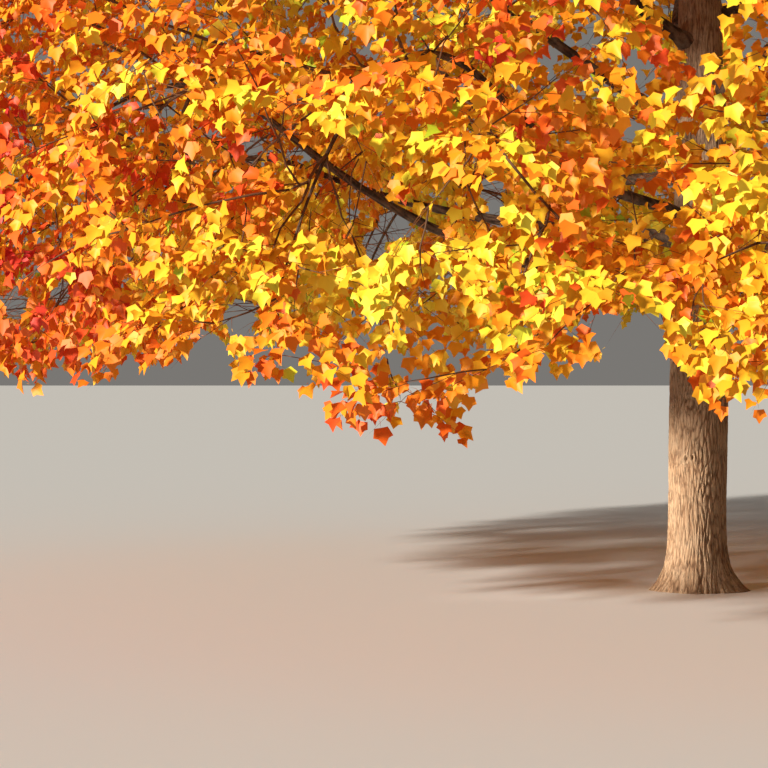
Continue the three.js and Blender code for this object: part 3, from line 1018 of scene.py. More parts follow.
class MassGrowth:
    """The twigs of one mass, grown on from its stem by the solids' rule and carried finer.

    Each place in the mass's space, nearest first, is joined to the node that gives it the shortest and
    straightest way home: length (1 + turn weight (1 - cos turn)) + path weight times the way from the
    stem's foot, plus short weight times what it falls short of the shortest twig.
    """

    BARE_NODES = 2
    FOLLOW = 0.55
    LIFT = 0.25
    CLEARANCE = 0.03
    TESTED = (0.5, 0.75, 0.98)
    INDEX_STRIDE = 17
    FOOT_SWELL = 1.1
    UNDER_PARENT = 0.95

    def __init__(self, bough: Bough, plan: CrownPlan, stem_nodes: int = 9, room: int = 1200) -> None:
        """Start from the nodes along the stem.

        Args:
            bough: the bough that carries the mass.
            plan: the tree's plan.
            stem_nodes: nodes along the stem.
            room: most nodes that the mass may have.
        """
        self.bough = bough
        self.plan = plan
        self.points = np.zeros((room, 3))
        self.courses = np.zeros((room, 3))
        self.paths = np.zeros(room)
        self.loads = np.zeros(room)
        self.parents = np.full(room, -1)
        self.twig_of = np.full(room, -1)
        self.share_of = np.zeros(room)
        self.twigs: list[GrownTwig] = []
        stem = bough.stem(np.linspace(0, 1, stem_nodes))
        steps = np.linalg.norm(np.diff(stem, axis=0), axis=1)
        self.count = stem_nodes
        self.stem_nodes = stem_nodes
        self.points[:stem_nodes] = stem
        self.courses[:stem_nodes] = unit(np.gradient(stem, axis=0))
        self.paths[1:stem_nodes] = np.cumsum(steps)
        self.parents[:stem_nodes] = np.arange(stem_nodes) - 1

    def places(self, rule: TwigRule) -> Array:
        """Return evenly spread places in the mass's space that keep a least distance.

        Candidates are radical inverses in the bases 2, 3 and 5 over the mass's box. Those nearest the
        outline are taken first, and spacing (1 + inward (outermost - out)) parts them, with heights
        counted squat times over so that the sprays lie in layers.

        Args:
            rule: how the places are spread.

        Returns:
            (n, 3) places.
        """
        deep, wide, tall = self.bough.tier.half
        number = np.arange(1, rule.candidates + 1) + self.INDEX_STRIDE * self.bough.index
        u, v, w = (2 * radical_inverse(number, base) - 1 for base in (2, 3, 5))
        outward = polar(self.bough.azimuth, 1.0, 0.0)
        sideways = polar(self.bough.azimuth + 90, 1.0, 0.0)
        reach = np.outer(u * deep, outward) + np.outer(v * wide, sideways) + np.outer(w * tall, UP)
        points = self.bough.middle + reach
        points = points[self.plan.own_space(points, self.bough, rule.outermost)]
        points = points[self.plan.outward_share(points) < rule.outermost]
        out = self.plan.outward_share(points)
        spacing = rule.spacing * (1 + rule.spacing_inward * (rule.outermost - out))
        flat = points * np.array([1.0, 1.0, rule.squat])
        chosen = np.zeros((0, 3))
        kept: list[int] = []
        for shell in rule.shells:
            for place in np.flatnonzero(out > shell):
                apart = np.sum((chosen - flat[place]) ** 2, axis=1)
                if apart.min(initial=np.inf) > spacing[place] ** 2:
                    chosen = np.vstack([chosen, flat[place]])
                    kept.append(place)
        return points[kept]

    def best_parent(self, place: Array, rule: TwigRule) -> int:
        """Return the node from which a place is reached most cheaply, leaving the stem's foot bare.

        The cost is the one in the class's description.

        Args:
            place: the place to be reached.
            rule: the rank's weights.

        Returns:
            The node's number.
        """
        nodes = slice(self.BARE_NODES, self.count)
        away = place - self.points[nodes]
        length = np.linalg.norm(away, axis=1)
        turn = 1 - np.sum(unit(away) * self.courses[nodes], axis=1)
        cost = length * (1 + rule.turn_weight * turn) + rule.path_weight * self.paths[nodes]
        cost += rule.short_weight * np.maximum(0, rule.shortest - length)
        return self.BARE_NODES + int(np.argmin(cost))

    def grow(self, rule: TwigRule, fine: bool, load: float) -> None:
        """Join a rank of twigs to what has grown, each as an arc that leaves its parent gently.

        An arc bends half its length along (its heading + FOLLOW its parent's course + LIFT up), and one
        that would touch a limb isn't grown.

        Args:
            rule: the rank's rule.
            fine: whether it is the finest rank.
            load: shoots that each twig carries.
        """
        places = self.places(rule)
        foot = self.points[0]
        order = np.argsort(np.linalg.norm(places - foot, axis=1), kind="stable")
        for place in places[order]:
            parent = self.best_parent(place, rule)
            start = self.points[parent]
            length = np.linalg.norm(place - start)
            heading = unit(place - start)
            lean = unit(heading + self.FOLLOW * self.courses[parent] + self.LIFT * UP)
            bend = start + lean * length * 0.5
            along = curve(start[None], bend[None], place[None], np.array(self.TESTED))[0]
            if not self.plan.clear_of_limbs(along, self.CLEARANCE).all():
                continue
            own = curve(start[None], bend[None], place[None], np.array(rule.nodes))[0]
            before = parent
            first = self.count
            for share, point in zip(rule.nodes, own):
                node = self.count
                self.points[node] = point
                self.courses[node] = unit((1 - share) * (bend - start) + share * (place - bend))
                self.paths[node] = self.paths[parent] + length * share
                self.parents[node] = before
                self.twig_of[node] = len(self.twigs)
                self.share_of[node] = share
                before = node
                self.count += 1
            self.twigs.append(GrownTwig(parent, first, bend, place, fine))
            while before >= 0:
                self.loads[before] += load
                before = self.parents[before]

    def twig_set(self, end_radius: float, power: float, taper: float) -> TwigSet:
        """Return the grown twigs, each as thick as what it carries asks: end radius times load^power.

        Args:
            end_radius: radius of a twig that carries one shoot.
            power: how its radius grows with its load.
            taper: its last radius against that of its last node.

        Returns:
            The twigs of this mass.
        """
        girth = end_radius * np.maximum(self.loads, 1) ** power
        girth = np.minimum(girth, self.bough.tip_radius * self.UNDER_PARENT)
        parent = np.array([twig.parent for twig in self.twigs])
        first = np.array([twig.first for twig in self.twigs])
        last = np.append(first[1:], self.count) - 1
        return TwigSet(
            start=self.points[parent],
            bend=np.array([twig.bend for twig in self.twigs]),
            end=np.array([twig.end for twig in self.twigs]),
            thick=np.minimum(girth[first] * self.FOOT_SWELL, girth[parent] * self.UNDER_PARENT),
            thin=girth[last] * taper,
            owner=np.full(len(parent), self.bough.order),
            fine=np.array([twig.fine for twig in self.twigs]),
            parent=self.twig_of[parent],
            place=self.share_of[parent],
            reach=np.ones(len(parent)),
        )

    def stem_radii(self, share: Array, end_radius: float, power: float) -> Array:
        """Return the stem's radius at shares of its way: end radius times load^power, never widening.

        Args:
            share: shares of the way.
            end_radius: radius of a twig that carries one shoot.
            power: how its radius grows with its load.

        Returns:
            Radii.
        """
        girth = end_radius * np.maximum(self.loads[: self.stem_nodes], 1) ** power
        girth = np.minimum(girth, self.bough.tip_radius)
        girth[0] = self.bough.tip_radius
        girth = np.minimum.accumulate(girth)
        return np.interp(share, np.linspace(0, 1, self.stem_nodes), girth)


@dataclass
class Twigs:
    """All the twigs of the crown and the leafy shoots at their ends."""

    plan: CrownPlan
    end_radius: float = 0.0020
    power: float = 0.355
    taper: float = 0.75
    pairs_behind: tuple[float, ...] = (0.10, 0.27, 0.46)
    aim_along: float = 0.45
    aim_aside: float = 0.85
    aim_roll: float = 70.0
    aim_up: float = 0.4
    aim_ups: tuple[float, float] = (0.25, 0.3)
    shoot_length: float = 0.40
    end_shares: tuple[float, float] = (0.85, 0.3)
    end_shortening: float = 0.85
    pair_shares: Triple = (0.7, 0.12, 0.35)
    furthest_back: float = 0.85
    shoot_radius: float = 0.0022
    shoot_taper: Triple = (1.0, 0.8, 0.4)
    rise_heights: Triple = (1.5, 5.0, 12.0)
    rises: Triple = (-0.42, -0.22, 0.15)
    rise_scatter: float = 0.3
    outermost: float = 0.985
    limb_clearance: float = 0.04
    wiggle: float = 0.05
    wiggle_waves: float = 1.4
    growths: list[MassGrowth] = field(init=False)
    twigs: TwigSet = field(init=False)
    shoots: TwigSet = field(init=False)

    def __post_init__(self) -> None:
        """Grow the masses rank by rank, then set the shoots."""
        carried = 1 + 2 * len(self.pairs_behind)
        self.growths = [MassGrowth(bough, self.plan) for bough in self.plan.boughs]
        for growth in self.growths:
            growth.grow(COARSE, False, carried)
            growth.grow(FINE_BY_TIER[growth.bough.tier.name], True, carried)
        sets = [growth.twig_set(self.end_radius, self.power, self.taper) for growth in self.growths]
        self.twigs = TwigSet.joined(sets)
        self.shoots = self.set_shoots()

    def set_shoots(self) -> TwigSet:
        """Set a shoot on every twig's end and pairs of them behind it.

        A paired shoot aims aim_along times along its twig and aim_aside times aside, a little rolled, and
        a little up. Every shoot is an arc whose end is moved up by rise times its length, which is down
        in the skirt and up in the top. Its length is a least share of shoot_length and scatter over it,
        and the pairs further back are longer by a step.

        Returns:
            The shoots.
        """
        twigs = self.twigs
        count = len(twigs.start)
        draw = np.random.default_rng(11)
        parts: list[tuple[Array, Array, Array, Array, Array]] = []
        lengths = twigs.lengths()
        everyone = np.arange(count)
        ending = twigs.course(np.ones(count))
        least, over = self.end_shares
        size = self.shoot_length * (least + over * draw.random(count))
        parts.append((twigs.end, ending, size * self.end_shortening, everyone, np.ones(count)))
        least, further, over = self.pair_shares
        for step, behind in enumerate(self.pairs_behind):
            share = 1 - behind / np.maximum(lengths, behind / self.furthest_back)
            root, along = twigs.at(share), twigs.course(share)
            sideways = unit(np.cross(UP, along) + 1e-6)
            for hand in (1.0, -1.0):
                roll = np.radians(self.aim_roll * (draw.random(count) - 0.5))[:, None]
                lift = np.cross(along, sideways)
                aside = hand * sideways * np.cos(roll) + lift * np.sin(roll)
                aim = unit(self.aim_along * along + self.aim_aside * aside)
                size = self.shoot_length * (least + further * step + over * draw.random(count))
                parts.append((root, aim, size, everyone, share))
        root, aim, size, parent, place = (np.concatenate(column) for column in zip(*parts))
        rise = np.interp(root[:, 2], self.rise_heights, self.rises)
        rise += self.rise_scatter * (draw.random(len(root)) - 0.5)
        least, over = self.aim_ups
        aim = unit(aim + np.outer(least + over * draw.random(len(root)), UP) * self.aim_up)
        bend = root + aim * size[:, None] * 0.5
        end = root + aim * size[:, None] + np.outer(rise * size, UP)
        keep = self.plan.in_crown(end, self.outermost)
        keep &= self.plan.clear_of_limbs(end, self.limb_clearance)
        every = np.ones(len(root))
        radius = self.shoot_radius * every
        owner = twigs.owner[parent]
        shoots = TwigSet(root, bend, end, radius, radius, owner, every > 0, parent, place, every)
        return shoots.chosen(keep)

    def cut_back(self, leafy: Array) -> None:
        """Drop the shoots that are not leafy, and draw each twig only as far as it carries something.

        A twig's reach is the furthest place of its leafy shoots and of the twigs on it that have a reach
        themselves. Twigs are numbered after their parents, so they are taken last first.

        Args:
            leafy: for each shoot whether it bears leaves.
        """
        reach = np.zeros(len(self.twigs.start))
        np.maximum.at(reach, self.shoots.parent[leafy], self.shoots.place[leafy])
        for twig in range(len(reach) - 1, -1, -1):
            parent = self.twigs.parent[twig]
            if reach[twig] > 0 and parent >= 0:
                reach[parent] = max(reach[parent], self.twigs.place[twig])
        self.twigs.reach = reach
        self.shoots.reach = leafy.astype(float)

    def arcs(self, chosen: Array, rings: int, sides: int) -> Surface:
        """Sweep the chosen twigs as tapering tubes that wander a little off their arcs.

        A twig wanders aside by 2 wiggle length sin(2 pi waves s + phase) s (1 - s).

        Args:
            chosen: numbers of the twigs.
            rings: rings along each.
            sides: corners of a ring.

        Returns:
            The tubes, in the first finish.
        """
        twigs = self.twigs
        share = np.linspace(0, 1, rings) * twigs.reach[chosen][:, None]
        start, bend, end = twigs.start[chosen], twigs.bend[chosen], twigs.end[chosen]
        paths = curve(start, bend, end, share)
        phase = scatter(chosen + 1)[:, None] * 2 * np.pi
        length = np.linalg.norm(end - start, axis=1)[:, None]
        wave = np.sin(2 * np.pi * self.wiggle_waves * share + phase)
        sway = self.wiggle * length * wave * share * (1 - share) * 2
        sideways = unit(np.cross(UP, end - start) + 1e-6)
        paths = paths + sway[..., None] * sideways[:, None]
        radii = twigs.thick[chosen][:, None] * (1 - share) + twigs.thin[chosen][:, None] * share
        return tubes(paths, radii, sides, np.zeros(len(chosen)))

    def surface(self, orders: list[int]) -> Surface:
        """Return the twigs and shoots of some masses in one surface.

        Args:
            orders: numbers of the masses.

        Returns:
            Twigs in the first finish and shoots in the second.
        """
        mine = np.isin(self.twigs.owner, orders) & (self.twigs.reach > 0)
        coarse = np.flatnonzero(mine & ~self.twigs.fine)
        fine = np.flatnonzero(mine & self.twigs.fine)
        own = np.isin(self.shoots.owner, orders) & (self.shoots.reach > 0)
        leafy = self.shoots.chosen(own)
        paths = curve(leafy.start, leafy.bend, leafy.end, np.array([0, 0.55, 1]))
        radii = leafy.thick[:, None] * np.array(self.shoot_taper)
        shoots = tubes(paths, radii, 3, np.ones(len(leafy.start)))
        return Surface.joined([self.arcs(coarse, 9, 6), self.arcs(fine, 5, 4), shoots])


# Leaves.


class Tint(Enum):
    """The autumn colours of the leaves, as sRGB bytes, from those hardly turned to the reddest."""

    LIME = (180, 200, 44)
    CITRON = (219, 214, 55)
    LEMON = (242, 218, 60)
    YELLOW = (243, 200, 48)
    GOLD = (240, 175, 37)
    AMBER = (238, 151, 29)
    ORANGE = (235, 126, 27)
    TANGERINE = (231, 101, 29)
    FLAME = (226, 80, 33)
    VERMILION = (221, 61, 39)
    SCARLET = (209, 45, 43)

    def finish(self) -> "PlainFinish":
        """Return the finish of the leaves in this tint, with a faint painted glow in it."""
        name = f"leaf_{self.name.lower()}"
        # Leaves carry a faint painted glow in their own tint.
        return PlainFinish(name, srgb(*self.value), roughness=0.5, specular=0.3, glow=0.02)


@dataclass(frozen=True)
class Patch:
    """A part of the crown whose leaves have turned further than the rest, or less by a negative amount."""

    place: Triple
    width: float
    amount: float


@dataclass(frozen=True)
class Turning:
    """How far the leaves have turned, from 0, lime, to 1, scarlet.

    A wave gives its turns in radians for a metre of x, y and z, and its start.
    """

    base: float = 0.385
    left: float = 0.09
    rise: float = 0.012
    rise_from: float = 3.0
    low_tips: float = 0.16
    low_from: float = 2.0
    low_depth: float = 0.7
    wave_share: float = 0.06
    wave_height: float = 1.7
    waves: tuple[tuple[float, float, float, float], ...] = (
        (2.1, 1.3, 0.0, 0.6),
        (0.0, 1.9, -2.4, 2.0),
        (1.6, 0.0, 2.7, 4.0),
    )
    patches: tuple[Patch, ...] = (
        Patch((-4.5, -3.5, 2.6), 0.80, 0.58),
        Patch((-4.1, -4.6, 2.9), 0.50, 0.20),
        Patch((-4.05, -4.6, 2.1), 0.50, 0.20),
        Patch((-3.07, -4.6, 3.3), 0.55, 0.14),
        Patch((-1.60, -5.3, 2.42), 0.38, 0.32),
        Patch((-1.54, -5.1, 1.75), 0.32, 0.26),
        Patch((-1.95, -4.9, 1.45), 0.32, 0.26),
        Patch((-2.9, -4.7, 2.2), 0.50, 0.05),
        Patch((-0.75, -5.4, 2.0), 0.60, 0.06),
        Patch((-3.95, -4.05, 1.80), 0.34, 0.26),
        Patch((-3.38, -3.8, 1.95), 0.35, -0.12),
        Patch((-2.04, -5.3, 2.12), 0.70, -0.10),
        Patch((-1.97, -4.6, 2.75), 0.28, 0.22),
        Patch((-2.30, -4.55, 1.45), 0.30, 0.22),
        Patch((-1.50, -5.2, 3.10), 0.55, 0.24),
        Patch((-0.85, -4.9, 3.10), 0.70, 0.27),
        Patch((-2.9, -4.6, 2.75), 0.60, 0.08),
    )

    def at(self, points: Array) -> Array:
        """Return the turning at points.

        It is base + left times how far left they are + rise times height, more for the lowest tips,
        with the slow waves through the crown and each patch's amount exp(-(distance / width)^2).

        Args:
            points: (n, 3) points.

        Returns:
            (n,) numbers, mostly from 0 to 1.
        """
        x, y, z = points.T
        turned = self.base + self.left * smoothstep(-x / 5 - 0.2) + self.rise * (z - self.rise_from)
        turned += self.low_tips * smoothstep((self.low_from - z) / self.low_depth)
        wave = sum(np.sin(by_x * x + by_y * y + by_z * z + start) for by_x, by_y, by_z, start in self.waves)
        turned += self.wave_share * wave / self.wave_height
        for patch in self.patches:
            away = np.linalg.norm(points - np.array(patch.place), axis=1)
            turned += patch.amount * np.exp(-((away / patch.width) ** 2))
        return turned


@dataclass(frozen=True)
class LeafForm:
    """A lobed blade, folded along its midrib, in shares of its length: along, aside and up.

    The corners are the root, then on each hand the basal lobe, the side lobe and the notch before the
    tip, then the tip.
    """

    lobe: Triple = (-0.01, 0.34, 0.06)
    side_lobe: Triple = (0.51, 0.50, 0.14)
    notch: Triple = (0.60, 0.26, 0.06)
    tip: Triple = (1.0, 0.0, -0.14)

    def corners(self) -> Array:
        """Return the corners.

        Returns:
            (8, 3) corners, the left hand's before the right hand's mirrored ones.
        """
        left = np.array([self.lobe, self.side_lobe, self.notch])
        right = left * np.array([1.0, -1.0, 1.0])
        return np.vstack([[(0, 0, 0)], left, right, [self.tip]])

    def faces(self) -> Array:
        """Return the triangles by the corners' numbers.

        Returns:
            (6, 3) numbers, all the faces looking up.
        """
        left = [(0, 2, 1), (0, 3, 2), (0, 7, 3)]
        right = [(0, 4, 5), (0, 5, 6), (0, 6, 7)]
        return np.array(left + right)


@dataclass(frozen=True)
class LeafPose:
    """How a leaf hangs: where its axis points and where its upper face looks, before scatter.

    The axis leans outward and down, less at the top of the crown, and the face looks up and outward.
    """

    outward_pull: float = 0.35
    rise_low: float = -1.15
    rise_high: float = -0.2
    rise_scatter: float = 0.7
    turn_scatter: float = 1.1
    face_up: float = 0.7
    face_outward: float = 1.1
    face_roll: float = 1.7
    face_scatter: float = 0.8


@dataclass(frozen=True)
class LeafSize:
    """The leaves' length and width, their stalks, and how much they curl.

    Each is a least share and a scatter over it. Leaves are larger by high gain over the top of a band
    of heights, so that fewer fill the upper crown.
    """

    length: float = 0.081
    length_shares: tuple[float, float] = (0.72, 0.5)
    high_gain: float = 0.34
    high_from: float = 3.9
    high_over: float = 2.2
    stalk: float = 0.040
    stalk_shares: tuple[float, float] = (0.6, 0.7)
    stalk_bend: float = 0.3
    stalk_half_width: float = 0.0014
    curls: tuple[float, float] = (0.2, 1.9)
    curl_stride: float = 0.5698402909980532
    widths: tuple[float, float] = (0.9, 0.22)
    width_stride: float = 0.8191725133961645


@dataclass(frozen=True)
class TintDeal:
    """How far a leaf's turning may lie from its place's, for its spray, its shoot and itself.

    A few leaves that have hardly turned are late by one step more.
    """

    spray: float = 0.20
    shoot: float = 0.16
    shoot_follow: float = 0.35
    leaf: float = 0.26
    late_share: float = 0.03
    late_below: float = 0.5
    late_step: float = 0.3


@dataclass
class Foliage:
    """The leaves, in pairs along every shoot and one at its end."""

    plan: CrownPlan
    twigs: Twigs
    turning: Turning = field(default_factory=Turning)
    form: LeafForm = field(default_factory=LeafForm)
    pose: LeafPose = field(default_factory=LeafPose)
    size: LeafSize = field(default_factory=LeafSize)
    deal: TintDeal = field(default_factory=TintDeal)
    nodes: tuple[float, ...] = (1.0, 0.83, 0.64, 0.44, 0.24)
    pair_turn: float = 90.0
    pair_scatter: float = 50.0
    pair_along: float = 0.75
    fewest: int = 3
    blade_clearance: float = 0.03
    tip_clearance: float = 0.02
    roots: Array = field(init=False)
    blades: Array = field(init=False)
    axes: Array = field(init=False)
    sides: Array = field(init=False)
    faces_up: Array = field(init=False)
    sizes: Array = field(init=False)
    owners: Array = field(init=False)
    tints: Array = field(init=False)

    def __post_init__(self) -> None:
        """Set every leaf, then drop those that leave the crown, touch a limb or are nearly alone."""
        draw = np.random.default_rng(29)
        pose, size = self.pose, self.size
        roots, aims, shoot = self.set_stalks(draw)
        count = len(roots)
        outward = unit(roots * np.array([1.0, 1.0, 0.0]))
        sideways = np.cross(UP, outward)
        rise = np.interp(roots[:, 2], [0, self.plan.shape.height], [pose.rise_low, pose.rise_high])
        rise += pose.rise_scatter * (draw.random(count) - 0.5)
        turn = pose.turn_scatter * (draw.random(count) - 0.5)
        axis = aims + pose.outward_pull * outward + turn[:, None] * sideways + np.outer(rise, UP)
        axis = unit(axis)
        roll = pose.face_roll * (draw.random(count) - 0.5)
        facing = pose.face_up * UP + pose.face_outward * outward + roll[:, None] * sideways
        facing += pose.face_scatter * (draw.random((count, 3)) - 0.5)
        facing = unit(facing - axis * np.sum(facing * axis, axis=1, keepdims=True))
        gain = 1 + size.high_gain * smoothstep((roots[:, 2] - size.high_from) / size.high_over)
        least, scatter_over = size.length_shares
        self.sizes = size.length * gain * (least + scatter_over * draw.random(count))
        least, scatter_over = size.stalk_shares
        stalks = size.stalk * (least + scatter_over * draw.random(count))
        self.roots = roots
        self.blades = roots + unit(aims + size.stalk_bend * axis) * stalks[:, None]
        self.axes, self.faces_up = axis, facing
        self.sides = np.cross(facing, axis)
        self.owners = self.twigs.shoots.owner[shoot]
        self.tints = self.deal_tints(shoot, draw)
        tips = self.blades + axis * self.sizes[:, None]
        keep = self.plan.in_crown(tips, 1.0) & self.plan.in_crown(self.blades, 1.0)
        keep &= self.plan.clear_of_limbs(self.blades, self.blade_clearance)
        keep &= self.plan.clear_of_limbs(tips, self.tip_clearance)
        borne = np.bincount(shoot[keep], minlength=len(self.twigs.shoots.start))
        keep &= borne[shoot] >= self.fewest
        self.twigs.cut_back(borne >= self.fewest)
        for name in ("roots", "blades", "axes", "sides", "faces_up", "sizes", "owners", "tints"):
            setattr(self, name, getattr(self, name)[keep])

    def set_stalks(self, draw: np.random.Generator) -> tuple[Array, Array, Array]:
        """Return the leaf stalks' feet, their directions, and the shoot that each is on.

        Args:
            draw: the seeded numbers.

        Returns:
            (n, 3) feet, (n, 3) directions and (n,) numbers of shoots.
        """
        shoots = self.twigs.shoots
        count = len(shoots.start)
        number = np.arange(count)
        feet, aims, owners = [shoots.end], [shoots.course(np.ones(count))], [number]
        for step, share in enumerate(self.nodes):
            at = np.full(count, share)
            root, along = shoots.at(at), shoots.course(at)
            sideways = unit(np.cross(UP, along) + 1e-6)
            lift = np.cross(along, sideways)
            roll = self.pair_turn * (step % 2) + self.pair_scatter * (draw.random(count) - 0.5)
            angle = np.radians(roll)[:, None]
            aside = sideways * np.cos(angle) + lift * np.sin(angle)
            for hand in (1.0, -1.0):
                feet.append(root)
                aims.append(unit(self.pair_along * along + hand * aside))
                owners.append(number)
        return np.concatenate(feet), np.concatenate(aims), np.concatenate(owners)

    def deal_tints(self, shoot: Array, draw: np.random.Generator) -> Array:
        """Deal each leaf a tint by its spray's turning, a step or two off it for the shoot and the leaf.

        Args:
            shoot: (n,) the shoot that each leaf is on.
            draw: the seeded numbers.

        Returns:
            (n,) numbers of tints.
        """
        deal = self.deal
        spray = self.twigs.shoots.parent
        ends = self.twigs.twigs.end
        by_spray = self.turning.at(ends) + deal.spray * (draw.random(len(ends)) - 0.5)
        by_shoot = by_spray[spray] + deal.shoot * (draw.random(len(spray)) - 0.5)
        own_place = self.turning.at(self.twigs.shoots.end) - self.turning.at(ends)[spray]
        by_shoot += deal.shoot_follow * own_place
        turned = by_shoot[shoot] + deal.leaf * (draw.random(len(shoot)) - 0.5)
        late = (draw.random(len(shoot)) < deal.late_share) & (turned < deal.late_below)
        turned = turned - deal.late_step * late
        steps = len(Tint)
        return np.clip(np.floor(turned * steps), 0, steps - 1).astype(int)

    def surface(self, orders: list[int]) -> Surface:
        """Return the leaves of some masses in one surface.

        A corner is blade + size (along axis + width aside side + curl up face), and the stalk is one
        thin triangle from the twig to the blade's root.

        Args:
            orders: numbers of the masses.

        Returns:
            The blades and stalks, each with its leaf's tint.
        """
        own = np.isin(self.owners, orders)
        numbers = np.flatnonzero(own)
        curl_least, curl_over = self.size.curls
        width_least, width_over = self.size.widths
        curl = curl_least + curl_over * (scatter(numbers, self.size.curl_stride) + 0.5)
        width = width_least + width_over * (scatter(numbers, self.size.width_stride) + 0.5)
        directions = np.stack([self.axes[own], self.sides[own], self.faces_up[own]], axis=1)
        local = np.repeat(self.form.corners()[None], len(numbers), axis=0)
        local[:, :, 2] *= curl[:, None]
        local[:, :, 1] *= width[:, None]
        blades = self.blades[own][:, None] + self.sizes[own][:, None, None] * (local @ directions)
        half = self.size.stalk_half_width * self.sides[own]
        feet = np.stack([self.roots[own] - half, self.roots[own] + half], axis=1)
        vertices = np.concatenate([blades, feet], axis=1)
        faces = np.vstack([self.form.faces(), [(8, 9, 0)]])
        first = np.arange(len(numbers))[:, None, None] * vertices.shape[1]
        block = (faces[None] + first).reshape(-1, 3)
        return Surface(vertices.reshape(-1, 3), [block], [np.repeat(self.tints[own], len(faces))])


# Trunk and limbs.


class Mark(Enum):
    """The kinds of mark on the trunk's bark."""

    KNOT = "knot"
    SCAR = "scar"
    CREASE = "crease"


@dataclass(frozen=True)
class BarkMark:
    """A mark at an azimuth and height: its half-width in degrees, half-height and depth."""

    kind: Mark
    azimuth: float
    height: float
    half_width: float
    half_height: float
    depth: float

    def relief(self, azimuths: Array, heights: Array) -> Array:
        """Return how far the mark lifts the bark.

        With q the distance in half-sizes, a knot is a rim 0.7 exp(-((q - 1) / 0.35)^2) round a hollow
        exp(-(q / 0.6)^2), a scar is swirling rings cos(3 pi q) that fade as exp(-q^2 / 2), and a crease
        is a wavering groove exp(-above^2) that fades aside as exp(-aside^4).

        Args:
            azimuths: degrees.
            heights: heights above ground.

        Returns:
            Metres, negative in a hollow.
        """
        off = degrees_from(azimuths, self.azimuth) / self.half_width
        above = (heights - self.height) / self.half_height
        reach = np.hypot(off, above)
        if self.kind is Mark.KNOT:
            return self.depth * (0.7 * np.exp(-(((reach - 1) / 0.35) ** 2)) - np.exp(-((reach / 0.6) ** 2)))
        if self.kind is Mark.SCAR:
            swirl = reach + 0.22 * np.sin(3 * off + 2 * above) + 0.15 * np.sin(5 * above)
            return self.depth * np.exp(-(reach**2) / 2) * np.cos(3 * np.pi * swirl + 1.5 * off)
        waver = above + 0.8 * np.sin(4.1 * off) + 0.4 * np.sin(9.7 * off + 1)
        return -self.depth * np.exp(-(waver**2)) * np.exp(-(off**4))


